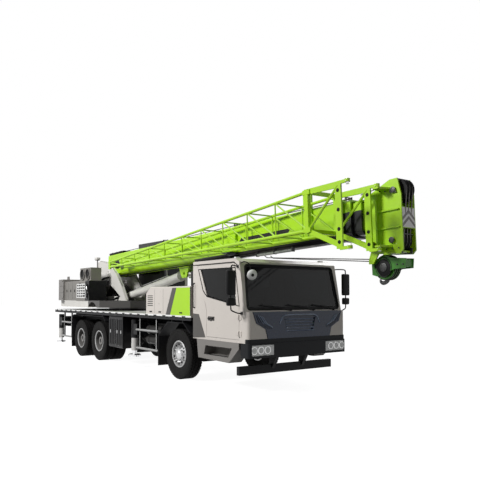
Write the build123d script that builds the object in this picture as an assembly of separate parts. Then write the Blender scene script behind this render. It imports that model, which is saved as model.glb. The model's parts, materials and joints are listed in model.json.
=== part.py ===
# Three-axle mobile crane with a telescopic boom, a lattice jib folded along its right side,
# four outriggers and a full-width driver's cab, parked with its boom on the rest.
# Millimetres, +X forward, +Y left, +Z up. Pieces are drawn with X = 0 at the front axle, and the
# finished part is moved so that its origin is the centre of its footprint, on the ground.
import os
from math import cos, hypot, radians, sin

from build123d import *

# ---- wheels and axles ----
wheel_radius = 540
tyre_width = 290
rim_radius = 280
twin_gap = 40
tyre_inset = 30
tyre_sides = 40
axle_2_x = -4325
axle_gap = 1350
hub_radius = 150
spindle_radius = 45
spindle_clearance = 0.4
kingpin_y = 820
kingpin_radius = 28
axle_beam_height = 110
leaf_thickness = 16

# ---- carrier ----
body_width = 2500
frame_width = 860
frame_tail_x = -7930
frame_top_z = 1330
frame_depth = 500
box_front_x = -1900
tow_reach = 110
tow_pin_radius = 26
tow_plate = 30
tow_gap = 90
tow_z = 980
rail_depth = 300
rail_width = 90
rail_drop_z = 1150
cab_rail_top_z = 915
cab_rail_depth = 170
deck_thickness = 40
deck_skirt_depth = 100
deck_front_x = 560
slot_pitch = 200
slot_length = 90
slot_height = 26
cover_rear_x = -1430
cover_width = 640
cover_top_z = 2000
cover_chamfer = 220
engine_length = 1500
engine_top_z = 1800
rest_x = 430
rest_gap = 30

# ---- driver's cab ----
cab_rear_x = 640
cab_front_x = 2380
cab_floor_z = 925
cab_roof_z = 2490
cab_belt_z = 1500
cab_roof_front_x = 2080
cab_wall = 45
door_gap = 6
hinge_radius = 14
hinge_pin_radius = 8
hinge_height = 50
hinge_lug = 24
hinge_leaf = 8
hinge_offset = 15.5
cab_hinge_z = (1090, 1390)
door_rear_x = 1140
door_front_x = 2200
door_slant = 330
window_inset = 75
glass_thickness = 8
screen_inset = 60
screen_top_inset = 115
screen_foot_z = 1535
screen_head_z = 2370
screen_corner = 70
fascia_thickness = 110
bumper_reach = 125
bumper_foot_z = 660
bumper_head_z = 1000
bumper_thickness = 190
lamp_height = 190
lamp_width = 520
underrun_z = 400
underrun_height = 160
underrun_x = 2100
step_height = 360
mirror_reach = 250

# ---- outriggers ----
front_outrigger_x = -2240
rear_outrigger_x = -7650
beam_width = 185
beam_height = 260
beam_gap = 10
outrigger_top_z = 1130
outrigger_wall = 20
mouth_inset = 290
jack_inset = 160
jack_radius = 85
jack_rod_radius = 55
jack_clearance = 0.5
float_radius = 160
float_z = 280
float_thickness = 60

# ---- slewing upper works ----
slew_x = -4900
slew_ring_radius = 620
slew_ring_height = 80
ring_seat_depth = 120
slew_clearance = 0.5
upper_floor_z = 1460
upper_floor_height = 200
upper_rear_x = -7930
upper_front_x = -4460
upper_width = 2300
counterweight_rear_x = -8000
counterweight_front_x = -7320
counterweight_foot_z = 1670
counterweight_top_z = 2340
counterweight_corner = 300
cheek_inner_y = 285
cheek_thickness = 40
winch_drum_radius = 190
winch_flange_radius = 270
winch_z = 1990
main_winch_x = -6430
aux_winch_x = -7010
op_cab_rear_x = -5150
op_cab_front_x = -3500
op_cab_inner_y = 430
op_cab_outer_y = 1200
op_cab_foot_z = 1560
op_cab_roof_z = 3400
op_cab_wall = 40
op_hinge_z = (1900, 2900)
op_cab_rake = 200

# ---- boom ----
pivot_x = -5700
pivot_z = 2500
pivot_pin_radius = 55
pin_clearance = 0.4
stowed_tilt = 2.0
boom_width = 520
boom_height = 660
boom_foot_w = -89
boom_bottom_radius = 150
boom_top_radius = 40
boom_wall = 10
section_step = 60
section_stagger = 200
base_length = 9650
base_tail = 150
inner_tail_u = 220
inner_stagger = 100
collar_length = 110
collar_rise = 25
pad_clearance = 0.5
head_reach = 540
head_plate_thickness = 25
head_foot_w = -430
head_top_w = 760
head_plate_w = (-30, 300)
head_pin_radius = 35
top_sheave_radius = 190
foot_sheave_radius = 165
sheave_width = 50
bracket_u = 4143
bracket_w = -285
barrel_radius = 115
rod_radius = 68
cylinder_foot_x = -4850
cylinder_foot_z = 1800
eye_radius = 95
eye_width = 160
neck_length = 135
eye_pin_radius = 40
ear_gap = 8

# ---- folded jib ----
jib_hinge_back = 300
jib_hinge_y = -350
jib_width = 680
jib_root_length = 860
jib_length = 9000
jib_tip_width = 380
chord_radius = 32
brace_radius = 14
jib_foot_w = 10
jib_top_w = 650
jib_tip_foot_w = 75
jib_tip_top_w = 215
lug_foot_w = -371
lug_top_w = 689
jib_rest_u = 6420
jib_rest_half = 150
leg_thickness = 30

# ---- hook block ----
hook_back = 620
hook_pivot_w = -510
hook_pin_radius = 20
hook_sheave_radius = 195
hook_width = 210

# ---- worked-out places ----
half_body = body_width / 2
tyre_face_y = half_body - tyre_inset
mouth_y = half_body - mouth_inset
jack_y = half_body - jack_inset
head_front_u = base_length + 3 * section_stagger - base_tail + head_reach
jib_hinge_u = head_front_u - jib_hinge_back
hook_pivot_u = head_front_u - hook_back
tyre_y = tyre_face_y - tyre_width / 2
twin_y = tyre_y - tyre_width - twin_gap
axle_z = wheel_radius
rear_axles_x = [axle_2_x, axle_2_x - axle_gap]
half_frame = frame_width / 2
deck_top_z = frame_top_z + deck_thickness
slew_top_z = frame_top_z + slew_ring_height
rail_inner_y = half_frame - rail_width
boom_top_w = boom_foot_w + boom_height
boom_frame = Pos(pivot_x, 0, pivot_z) * Rot(0, -stowed_tilt, 0)


def block(x, y, z):
    """A box between two corners given as (low, high) pairs."""
    size = (x[1] - x[0], y[1] - y[0], z[1] - z[0])
    middle = ((x[0] + x[1]) / 2, (y[0] + y[1]) / 2, (z[0] + z[1]) / 2)
    return Pos(*middle) * Box(*size)


def side_slab(points, y):
    """An outline of (x, z) points, thick from y[0] to y[1]."""
    face = Plane.XZ * make_face(Polyline(*points, close=True))
    return Pos(0, y[1], 0) * extrude(face, amount=y[1] - y[0])


def flat_slab(points, z):
    """An outline of (x, y) points, thick from z[0] to z[1]."""
    face = make_face(Polyline(*points, close=True))
    return Pos(0, 0, z[0]) * extrude(face, amount=z[1] - z[0])


def cross_slab(points, x):
    """An outline of (y, z) points, thick from x[0] to x[1]."""
    face = Plane.YZ * make_face(Polyline(*points, close=True))
    return Pos(x[0], 0, 0) * extrude(face, amount=x[1] - x[0])


def pin_y(x, z, radius, y):
    """A round bar across the machine from y[0] to y[1]."""
    return Pos(x, (y[0] + y[1]) / 2, z) * Rot(90, 0, 0) * Cylinder(radius, y[1] - y[0])


def post(x, y, radius, z):
    """An upright round bar from z[0] to z[1]."""
    return Pos(x, y, (z[0] + z[1]) / 2) * Cylinder(radius, z[1] - z[0])


def bar(start, end, radius):
    """A round bar between two points."""
    run = Vector(*end) - Vector(*start)
    foot = (Align.CENTER, Align.CENTER, Align.MIN)
    return Plane(origin=start, z_dir=run) * Cylinder(radius, run.length, align=foot)


def rod(start, end, radius, sides=8):
    """A straight prism with flats, for lattice members."""
    path = Vector(*end) - Vector(*start)
    upright = Vector(0, 0, 1) if abs(path.Z) < 0.9 * path.length else Vector(1, 0, 0)
    plane = Plane(origin=start, x_dir=path.cross(upright), z_dir=path)
    return extrude(plane * RegularPolygon(radius, sides), amount=path.length)


def strip(points, thickness, y):
    """A bent plate that follows (x, z) points."""
    plates = []
    for (x0, z0), (x1, z1) in zip(points, points[1:]):
        run = hypot(x1 - x0, z1 - z0)
        nx, nz = (z0 - z1) / run * thickness / 2, (x1 - x0) / run * thickness / 2
        ex, ez = (x1 - x0) / run * thickness / 2, (z1 - z0) / run * thickness / 2
        outline = [(x0 - ex + nx, z0 - ez + nz), (x1 + ex + nx, z1 + ez + nz),
                   (x1 + ex - nx, z1 + ez - nz), (x0 - ex - nx, z0 - ez - nz)]
        plates.append(side_slab(outline, y))
    return plates[0] + plates[1:]


def both_sides(shape):
    return shape + mirror(shape, about=Plane.XZ)


def edges_along(shape, axis):
    return shape.edges().filter_by(axis)


# ---------------------------------------------------------------- carrier
def carrier_frame():
    box_foot = frame_top_z - frame_depth
    rail_foot = rail_drop_z - rail_depth
    cab_foot = cab_rail_top_z - cab_rail_depth
    box = block((frame_tail_x, box_front_x), (-half_frame, half_frame), (box_foot, frame_top_z))
    rail_line = [(box_front_x, frame_top_z), (box_front_x + 200, rail_drop_z),
                 (cab_rear_x - 190, rail_drop_z),
                 (cab_rear_x - 40, cab_rail_top_z), (cab_front_x - 150, cab_rail_top_z),
                 (cab_front_x - 150, cab_foot), (cab_rear_x - 240, cab_foot), (cab_rear_x - 440, rail_foot),
                 (box_front_x + 300, rail_foot), (box_front_x, box_foot)]
    rail = side_slab(rail_line, (rail_inner_y, half_frame))
    inner = (-rail_inner_y, rail_inner_y)
    ties = [block((x, x + 120), inner, (rail_foot, rail_foot + 60)) for x in (-1300, -100)]
    ties.append(block((cab_front_x - 270, cab_front_x - 150), inner, (cab_foot, cab_rail_top_z)))
    ring = Pos(slew_x, 0, (frame_top_z + slew_top_z) / 2) * Cylinder(slew_ring_radius, slew_ring_height)
    reach = slew_ring_radius + 80
    seat = block((slew_x - reach, slew_x + reach), (-reach, reach),
                 (frame_top_z - ring_seat_depth, frame_top_z))
    frame = box + both_sides(rail) + ties + seat + ring
    for x in (front_outrigger_x, rear_outrigger_x):
        frame += outrigger_box(x)
    for x in (front_outrigger_x, rear_outrigger_x):
        frame -= outrigger_tunnel(x)
        frame += outrigger_pads(x)
    return frame


def tow_clevis():
    """Two plates behind the rear cross member, bored upright for a tow bar's pin."""
    x = frame_tail_x - tow_reach
    plate = flat_slab([(frame_tail_x, -110), (frame_tail_x, 110), (x, 60), (x, -60)], (0, tow_plate))
    plate += post(x, 0, 60, (0, tow_plate))
    plate -= post(x, 0, tow_pin_radius, (-10, tow_plate + 10))
    low = Pos(0, 0, tow_z - tow_gap / 2 - tow_plate) * plate
    high = Pos(0, 0, tow_z + tow_gap / 2) * plate
    return low + high


def outrigger_half_length():
    return beam_width + beam_gap * 1.5


def outrigger_box(x):
    half = outrigger_half_length() + outrigger_wall
    foot = outrigger_top_z - beam_height - 2 * beam_gap - 2 * outrigger_wall
    return block((x - half, x + half), (-mouth_y, mouth_y), (foot, outrigger_top_z))


def outrigger_tunnel(x):
    half = outrigger_half_length()
    top = outrigger_top_z - outrigger_wall
    return block((x - half, x + half), (-half_body, half_body), (top - beam_height - 2 * beam_gap, top))


def outrigger_pads(x):
    """Slide pads over, under and beside the two beams, near both mouths."""
    half = outrigger_half_length()
    top = outrigger_top_z - outrigger_wall
    foot = top - beam_height - 2 * beam_gap
    pads = []
    for y in ((mouth_y - 110, mouth_y - 10), (-mouth_y + 10, -mouth_y + 110)):
        for z in ((foot, foot + beam_gap - pad_clearance), (top - beam_gap + pad_clearance, top)):
            pads.append(block((x - half, x + half), y, z))
        for side in (-1, 1):
            wall = sorted((x + side * half, x + side * (half - beam_gap + pad_clearance)))
            pads.append(block(wall, y, (foot + 40, top - 40)))
    return pads


def boom_rest():
    top = pivot_z + (boom_foot_w - rest_gap) * cos(radians(stowed_tilt))
    top += (rest_x - pivot_x) * sin(radians(stowed_tilt))
    legs = side_slab([(rest_x - 60, rail_drop_z), (rest_x + 60, rail_drop_z), (rest_x + 50, top - 140),
                      (rest_x - 50, top - 140)], (rail_inner_y, half_frame))
    pad = boom_width / 2 - 40
    saddle_line = [(-half_frame, top - 140), (-half_frame, top - 115), (-pad, top - 60), (-pad, top),
                   (pad, top),
                   (pad, top - 60), (half_frame, top - 115), (half_frame, top - 140)]
    return both_sides(legs) + cross_slab(saddle_line, (rest_x - 70, rest_x + 70))


def deck():
    x = (frame_tail_x, deck_front_x)
    plate = block(x, (-half_body, half_body), (frame_top_z, deck_top_z))
    skirt = block(x, (half_body - 40, half_body), (deck_top_z - deck_skirt_depth, deck_top_z))
    count = int((x[1] - x[0]) / slot_pitch)
    slot = Box(slot_length, 20, slot_height)
    middle_z = deck_top_z - deck_skirt_depth / 2
    slots = [Pos(x[0] + (i + 0.5) * slot_pitch, half_body, middle_z) * slot for i in range(count)]
    shape = plate + both_sides(skirt - slots)
    well = Pos(slew_x, 0, deck_top_z) * Cylinder(slew_ring_radius + 30, 4 * deck_thickness)
    engine_well = block((cover_rear_x - 100, deck_front_x + 50), (-half_frame - 20, half_frame + 20),
                        (frame_top_z - 50, deck_top_z + 50))
    return shape - well - engine_well


def side_covers():
    foot = deck_top_z
    line = [(cover_rear_x, foot), (cover_rear_x, cover_top_z - cover_chamfer * 0.7),
            (cover_rear_x + cover_chamfer, cover_top_z), (deck_front_x, cover_top_z), (deck_front_x, foot)]
    cover = side_slab(line, (half_body - cover_width, half_body))
    return both_sides(fillet(edges_along(cover, Axis.X).group_by(Axis.Z)[-1], 25))


def engine():
    rear = cover_rear_x + 130
    foot = rail_drop_z - rail_depth + 60
    inner = rail_inner_y - 10
    lower = block((rear, rear + engine_length), (-inner, inner), (foot, rail_drop_z + 120))
    upper = block((rear + 60, rear + engine_length - 80), (-inner + 40, inner - 40),
                  (rail_drop_z + 120, engine_top_z))
    return lower + upper


def axles():
    beam_top = axle_z + 20
    drop = 110
    half = kingpin_y - 70
    line = [(-half, beam_top), (-half + 120, beam_top - drop), (half - 120, beam_top - drop),
            (half, beam_top),
            (half, beam_top - axle_beam_height), (half - 150, beam_top - drop - axle_beam_height),
            (-half + 150, beam_top - drop - axle_beam_height), (-half, beam_top - axle_beam_height)]
    front = cross_slab(line, (-50, 50))
    boss_z = (beam_top - axle_beam_height, beam_top)
    boss = post(0, kingpin_y, 60, boss_z) + block((-50, 50), (half - 5, kingpin_y), boss_z)
    boss -= post(0, kingpin_y, kingpin_radius + spindle_clearance, (boss_z[0] - 10, boss_z[1] + 10))
    front += both_sides(boss)
    shape = front + front_leaf_pair(beam_top - drop)
    for x in rear_axles_x:
        tube = pin_y(x, axle_z, 75, (-twin_y + 150, twin_y - 150))
        tips = pin_y(x, axle_z, spindle_radius + 10, (-tyre_y - 60, tyre_y + 60))
        bowl = Pos(x, 0, axle_z) * Sphere(200)
        shape += [tube, tips, bowl]
    middle = sum(rear_axles_x) / 2
    shape += rear_leaf_pair(middle)
    return shape


def front_leaf_pair(seat_z):
    """Leaf springs on the front axle beam, their ends in hangers under the rails."""
    y = (rail_inner_y, half_frame)
    reach = 560
    leaves = [block((-length, length), y, (seat_z + i * leaf_thickness, seat_z + (i + 1) * leaf_thickness))
              for i, length in enumerate((reach - 300, reach - 200, reach - 100, reach))]
    top = seat_z + 4 * leaf_thickness
    tops = ((-reach + 35, rail_drop_z - rail_depth), (reach - 35, cab_rail_top_z - cab_rail_depth))
    ends = [block((x - 35, x + 35), y, (top, hanger_z)) for x, hanger_z in tops]
    return both_sides(leaves[0] + leaves[1:] + ends)


def rear_leaf_pair(x):
    """The balance springs between the two rear axles, on a bracket of the frame."""
    y = (half_frame, half_frame + 80)
    seat = axle_z + 75
    reach = axle_gap / 2
    leaves = [block((x - reach + 90 * i, x + reach - 90 * i), y,
                    (seat + i * leaf_thickness, seat + (i + 1) * leaf_thickness)) for i in range(6)]
    saddle = block((x - 110, x + 110), y, (seat + 6 * leaf_thickness, frame_top_z - ring_seat_depth))
    return both_sides(leaves[0] + leaves[1:] + saddle)


def knuckle(side):
    """Steering knuckle: an upright fork on the kingpin with the wheel's spindle."""
    top = axle_z + 20
    foot = top - axle_beam_height
    pin = post(0, kingpin_y, kingpin_radius, (foot - 40, top + 40))
    ears = [post(0, kingpin_y, 58, (top + 6, top + 50)), post(0, kingpin_y, 58, (foot - 50, foot - 6))]
    web_y = (kingpin_y + 66, kingpin_y + 96)
    web = block((-55, 55), web_y, (foot - 50, top + 50))
    arms = [block((-45, 45), (kingpin_y, web_y[1]), z) for z in ((top + 6, top + 50),
                                                                 (foot - 50, foot - 6))]
    spindle = pin_y(0, axle_z, spindle_radius, (web_y[0], tyre_y + 60))
    shape = pin + ears + arms + web + spindle
    return shape if side > 0 else mirror(shape, about=Plane.XZ)


def tyre(y):
    """A faceted ring that stands on one flat, with bevelled shoulders and a round bead."""
    half = tyre_width / 2
    ring = RegularPolygon(wheel_radius, tyre_sides, major_radius=False, rotation=180 / tyre_sides)
    shape = extrude(Plane.XZ * ring, amount=tyre_width)
    shape = Pos(0, y + half, 0) * shape
    faces = shape.faces().filter_by(Axis.Y)
    shape = chamfer([edge for face in faces for edge in face.outer_wire().edges()], 28)
    return shape - pin_y(0, 0, rim_radius, (y - half - 5, y + half + 5))


def front_rim():
    """Steel disc wheel, disc bulging outwards, on its hub."""
    half = tyre_width / 2 - 30
    seat = rim_radius - 0.3
    bore = spindle_radius + spindle_clearance
    inner = kingpin_y + 104
    line = [(bore, inner), (hub_radius - 30, inner), (hub_radius, tyre_y + 40), (seat - 60, tyre_y + 20),
            (seat - 25, tyre_y), (seat - 25, tyre_y - half), (seat, tyre_y - half), (seat, tyre_y + half),
            (seat - 22, tyre_y + half), (seat - 45, tyre_y + 60), (hub_radius + 10, tyre_y + 90),
            (hub_radius - 30, tyre_y + 140), (bore, tyre_y + 140)]
    rim = revolve(make_face(Polyline(*line, close=True)), Axis.Y)
    holes = [Rot(0, 45 * i, 0) * Pos(hub_radius + 38, tyre_y + 60, 0) * Rot(90, 0, 0) * Cylinder(22, 160)
             for i in range(8)]
    return Pos(0, 0, axle_z) * (rim - holes)


def twin_rim():
    """Rim barrels for both tyres with one deeply dished disc and a long hub."""
    half = tyre_width / 2 - 30
    seat = rim_radius - 0.3
    bore = spindle_radius + 10 + spindle_clearance
    disc_y = (tyre_y + twin_y) / 2
    line = [(bore, twin_y - half), (hub_radius - 30, twin_y - half), (hub_radius, disc_y - 20),
            (seat - 25, disc_y - 30), (seat - 25, twin_y - half), (seat, twin_y - half),
            (seat, tyre_y + half),
            (seat - 25, tyre_y + half), (seat - 25, disc_y + 60), (hub_radius + 20, disc_y + 10),
            (hub_radius - 20, disc_y + 60), (hub_radius - 40, tyre_y + 90), (bore, tyre_y + 90)]
    rim = revolve(make_face(Polyline(*line, close=True)), Axis.Y)
    return Pos(0, 0, axle_z) * rim


def mudguards():
    y = (half_body - 340, half_body)
    front = strip([(-840, 220), (-840, 880), (-420, 1215), (250, 1215), (510, 1020)], 12, y)
    rear_x = rear_axles_x[1] - wheel_radius - 150
    front_x = rear_axles_x[0] + wheel_radius - 50
    top = deck_top_z - deck_skirt_depth - 40
    rear = strip([(rear_x, 340), (rear_x, top - 90), (rear_x + 140, top), (front_x - 140, top),
                  (front_x, top - 110)], 12, y)
    inside = (y[0], half_body - 45)
    hangers = [block((x - 20, x + 20), inside, (top + 5, frame_top_z)) for x in (rear_x + 250,
                                                                                 front_x - 250)]
    front_hangers = [block((x - 20, x + 20), inside, (1220, frame_top_z)) for x in (-300, 150)]
    return both_sides(front + front_hangers) + both_sides(rear + hangers) + steps()


def side_guards():
    """Tube rails with their posts between the axles and behind the rear axle."""
    y = half_body - 35
    shape = None
    for rear, front in ((-2050 + 60, -900), (-7320, -6420)):
        rails = [bar((rear, y, z), (front, y, z), 26) for z in (530, 970)]
        posts = [block((x - 18, x + 18), (y - 60, y - 20), (500, deck_top_z - deck_skirt_depth))
                 for x in (rear + 130, front - 130)]
        ties = [block((x - 16, x + 16), (y - 30, y - 10), (z - 16, z + 16))
                for x in (rear + 130, front - 130) for z in (530, 970)]
        group = rails[0] + rails[1:] + posts + ties
        tops = [block((x - 18, x + 18), (y - 60, y - 20), (deck_top_z - deck_skirt_depth, frame_top_z))
                for x in (rear + 130, front - 130)]
        group += tops
        shape = both_sides(group) if shape is None else shape + both_sides(group)
    return shape


def tanks():
    """Ribbed lockers and tank between the front outrigger and the rear axles."""
    x = (-3600, -2760)
    y = (half_body - 480, half_body - 20)
    box = block(x, y, (440, deck_top_z - deck_skirt_depth))
    box = fillet(edges_along(box, Axis.X), 40)
    hanger = block((x[0] + 100, x[1] - 100), (half_frame, y[0]), (frame_top_z - 350, frame_top_z - 200))
    ribs = [block((x[0] + 40 + i * 110, x[0] + 90 + i * 110), (y[1] - 5, y[1] + 12),
                  (520, 1180)) for i in range(7)]
    return both_sides(box + ribs + hanger)


# ---------------------------------------------------------------- driver's cab
def cab_line(inset=0):
    """Cab outline seen from the side, moved inwards by inset."""
    return [(cab_rear_x + inset, cab_floor_z + inset), (cab_rear_x + inset, cab_roof_z - inset),
            (cab_roof_front_x - inset * 0.4, cab_roof_z - inset),
            (cab_roof_front_x + 130 - inset, cab_roof_z - 70 - inset * 0.8),
            (cab_front_x - inset, cab_belt_z), (cab_front_x - inset, cab_floor_z + inset)]


def door_line(gap=0):
    """Door outline: upright front edge, rear edge slanting back towards the roof."""
    top = cab_roof_z - 90
    return [(door_rear_x - gap, cab_floor_z + 60 - gap), (door_rear_x - gap, cab_belt_z - gap),
            (door_rear_x - door_slant - gap, top + gap), (door_front_x - 140 + gap, top + gap),
            (door_front_x + gap, cab_belt_z + 100 + gap), (door_front_x + gap, cab_floor_z + 60 - gap)]


def door_window_line(gap=0):
    top = cab_roof_z - 90 - window_inset
    foot = cab_belt_z + 90
    slope = door_slant / (top + window_inset - cab_belt_z)
    rear_foot = door_rear_x + window_inset - (foot - cab_belt_z) * slope
    rear_top = door_rear_x + window_inset - (top - cab_belt_z) * slope
    return [(rear_foot - gap, foot + 120 - gap), (rear_top - gap, top + gap),
            (door_front_x - 140 - window_inset + 15 + gap, top + gap),
            (door_front_x - window_inset + gap, foot - gap)]


def screen_slab(gap, x):
    """The windscreen's outline with rounded corners, as a slab along the cab."""
    foot = half_body - screen_inset + gap
    top = half_body - screen_top_inset + gap
    line = [(-foot, screen_foot_z - gap), (-top, screen_head_z + gap), (top, screen_head_z + gap),
            (foot, screen_foot_z - gap)]
    slab = cross_slab(line, x)
    return fillet(edges_along(slab, Axis.X), screen_corner + gap)


def cab_shell():
    outer = side_slab(cab_line(), (-half_body, half_body))
    outer = fillet(edges_along(outer, Axis.Y).sort_by(Axis.Z)[-2:], 40)
    room = side_slab(cab_line(cab_wall), (-half_body + cab_wall, half_body - cab_wall))
    shape = outer - room
    doors = side_slab(door_line(door_gap), (-half_body - 20, half_body + 20))
    screen = screen_slab(0, (cab_roof_front_x - 100, cab_front_x + 100))
    rear = block((cab_rear_x - 20, cab_rear_x + cab_wall + 20), (-800, 800), (1750, 2250))
    shape -= [doors, screen, rear]
    feet = [block((x, x + 160), (rail_inner_y, half_frame), (cab_rail_top_z, cab_floor_z))
            for x in (cab_rear_x + 60, cab_front_x - 360)]
    shape += both_sides(feet[0] + feet[1]) + both_sides(cab_hinge_posts())
    return shape + both_sides(cab_cheek())


def fascia_edge(gap=0):
    """Outer edge of the navy panel as (y, z) points, from the belt down."""
    return [(half_body - 100 - gap, cab_belt_z - 5), (half_body - 180 - gap, 1290),
            (half_body - 400 - gap, 1180),
            (half_body - 450 - gap, bumper_head_z + 2)]


def cab_cheek():
    """Corner panel beside the navy one, rounded towards the door."""
    inside = fascia_edge(-4)
    line = inside + [(half_body, bumper_head_z + 2), (half_body, cab_belt_z - 5)]
    cheek = cross_slab(line, (cab_front_x - 5, cab_front_x + fascia_thickness - 15))
    corner = edges_along(cheek, Axis.Z).group_by(Axis.Y)[-1].sort_by(Axis.X)[-1]
    return fillet(corner, 70)


def hinge_post(x, y, z, leaf_x, leaf_y):
    """Fixed half of a door hinge: a pin between two lugs on a plate."""
    half = hinge_height / 2
    shape = block(leaf_x, leaf_y, (z - half - hinge_lug, z + half + hinge_lug))
    for foot, top in ((z - half - hinge_lug, z - half - 1), (z + half + 1, z + half + hinge_lug)):
        shape += [post(x, y, hinge_radius, (foot, top)), block(sorted((x, leaf_x[0])), (leaf_y[0], y),
                                                               (foot, top))]
    return shape + post(x, y, hinge_pin_radius, (z - half - 5, z + half + 5))


def hinge_barrel(x, y, z, leaf_x, leaf_y):
    """Turning half of a door hinge, bored for the pin."""
    half = hinge_height / 2
    shape = block(leaf_x, leaf_y, (z - half, z + half)) + post(x, y, hinge_radius, (z - half, z + half))
    shape += block(sorted((x, leaf_x[1])), (leaf_y[0], y), (z - half, z + half))
    return shape - post(x, y, hinge_pin_radius + pin_clearance, (z - half - 5, z + half + 5))


def cab_hinge_posts():
    x = door_front_x + door_gap / 2
    plate = (x + hinge_radius + 2, x + hinge_radius + 52)
    posts = [hinge_post(x, half_body + hinge_offset, z, plate,
                        (half_body, half_body + hinge_leaf)) for z in cab_hinge_z]
    return posts[0] + posts[1:]


def cab_glass():
    """Windscreen and rear pane, each filling its opening."""
    skin = side_slab(cab_line(cab_wall / 2 - glass_thickness / 2), (-half_body, half_body))
    skin -= side_slab(cab_line(cab_wall / 2 + glass_thickness / 2), (-half_body - 10, half_body + 10))
    front = skin & screen_slab(-0.3, (cab_roof_front_x + 20, cab_front_x + 50))
    x = cab_rear_x + cab_wall / 2
    rear = block((x - glass_thickness / 2, x + glass_thickness / 2), (-799.7, 799.7), (1750.3, 2249.7))
    return front + rear


def cab_fascia():
    """Navy front panel with nested grooves at both ends and a slatted recess."""
    x = (cab_front_x, cab_front_x + fascia_thickness)
    edge = fascia_edge()
    panel = cross_slab(edge + [(-y, z) for y, z in reversed(edge)], x)
    recess = cross_slab([(-420, cab_belt_z - 80), (420, cab_belt_z - 80), (330, 1120), (-330, 1120)],
                        (x[1] - 30, x[1] + 10))
    slats = [block((x[1] - 31, x[1] - 8), (-400 + 20 * i, 400 - 20 * i), (1375 - 62 * i, 1398 - 62 * i))
             for i in range(4)]
    grooves = []
    for i in range(3):
        gap = 50 + 48 * i
        outer, inner = fascia_edge(gap), fascia_edge(gap + 20)
        line = [(outer[0][0], 1445 - 25 * i), outer[1], outer[2], inner[2], inner[1],
                (inner[0][0], 1445 - 25 * i)]
        grooves.append(both_sides(cross_slab(line, (x[1] - 14, x[1] + 10))))
    return panel - recess - grooves + slats


def front_bumper():
    x = (cab_front_x - bumper_thickness + 60, cab_front_x + bumper_reach)
    body = block(x, (-half_body, half_body), (bumper_foot_z, bumper_head_z - 80))
    lip = block((cab_front_x + 1, x[1] - 20), (-half_body, half_body), (bumper_head_z - 80, bumper_head_z))
    body = fillet(edges_along(body, Axis.Z).group_by(Axis.X)[-1], 60)
    lip = fillet(edges_along(lip, Axis.Z).group_by(Axis.X)[-1], 60)
    shape = body + lip
    for side in (-1, 1):
        y = sorted((side * (half_body - 60), side * (half_body - 60 - lamp_width)))
        shape -= block((x[1] - 60, x[1] + 10), y, (705, 705 + lamp_height))
    grab = block((x[0] - 40, x[0] + 60), (-rail_inner_y, rail_inner_y),
                 (bumper_foot_z - 40, bumper_foot_z + 60))
    bracket_line = [(underrun_x - 40, underrun_z), (underrun_x + 40, underrun_z),
                    (x[0] + 60, bumper_foot_z + 30),
                    (x[0] - 30, bumper_foot_z + 85), (underrun_x - 30, cab_rail_top_z - cab_rail_depth)]
    bracket = side_slab(bracket_line, (rail_inner_y + 10, half_frame - 10))
    beam = block((underrun_x - 40, underrun_x + 40), (-half_body + 50, half_body - 50),
                 (underrun_z - underrun_height / 2, underrun_z + underrun_height / 2))
    return shape + grab + both_sides(bracket) + beam


def lamps():
    front_x = cab_front_x + bumper_reach
    y = (half_body - 60 - lamp_width, half_body - 60)
    head = block((front_x - 60, front_x - 6), y, (705, 705 + lamp_height))
    tail_x = frame_tail_x
    tail = block((tail_x - 30, tail_x), (620, 980), (deck_top_z - 35, deck_top_z))
    roof = block((cab_roof_front_x - 160, cab_roof_front_x - 100), (half_body - 200, half_body - 100),
                 (cab_roof_z, cab_roof_z + 35))
    return both_sides(head) + both_sides(tail) + both_sides(roof)


def cab_interior():
    floor = cab_floor_z + cab_wall
    shape = None
    for y in (-700, 700):
        plinth = block((cab_rear_x + 240, cab_rear_x + 640), (y - 200, y + 200), (floor, floor + 230))
        cushion = block((cab_rear_x + 180, cab_rear_x + 700), (y - 250, y + 250),
                        (floor + 230, floor + 370))
        back = side_slab([(cab_rear_x + 90, floor + 1010), (cab_rear_x + 190, floor + 1010),
                          (cab_rear_x + 310, floor + 370), (cab_rear_x + 180, floor + 370)],
                         (y - 240, y + 240))
        seat = plinth + cushion + back
        shape = seat if shape is None else shape + seat
    dash = side_slab([(cab_front_x - cab_wall, floor + 250), (cab_front_x - cab_wall, cab_belt_z - 5),
                      (cab_front_x - 280, cab_belt_z - 5), (cab_front_x - 420, cab_belt_z - 120),
                      (cab_front_x - 300, floor + 250)], (-half_body + cab_wall + 40,
                                                          half_body - cab_wall - 40))
    column = bar((cab_front_x - 330, 700, cab_belt_z - 160), (cab_front_x - 560, 700, cab_belt_z + 60), 30)
    hub = Plane(origin=(cab_front_x - 560, 700, cab_belt_z + 60), z_dir=(-230, 0, 220))
    wheel = extrude(hub * (RegularPolygon(222, 24) - RegularPolygon(196, 24)), amount=24)
    spoke = hub * Box(60, 420, 14)
    return shape + (dash + column + wheel + spoke)


def cab_door(side):
    leaf = side_slab(door_line(), (half_body - cab_wall, half_body))
    leaf -= side_slab(door_window_line(), (half_body - cab_wall - 10, half_body + 10))
    handle = block((door_rear_x + 60, door_rear_x + 260), (half_body - 5, half_body + 22), (1330, 1365))
    leaf += handle
    x = door_front_x + door_gap / 2
    plate = (door_front_x - 70, x - hinge_radius - 2)
    leaf += [hinge_barrel(x, half_body + hinge_offset, z, plate,
                          (half_body, half_body + hinge_leaf)) for z in cab_hinge_z]
    return leaf if side > 0 else mirror(leaf, about=Plane.XZ)


def door_glass(side):
    middle = half_body - cab_wall / 2
    pane = side_slab(door_window_line(-0.3), (middle - glass_thickness / 2, middle + glass_thickness / 2))
    return pane if side > 0 else mirror(pane, about=Plane.XZ)


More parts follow.
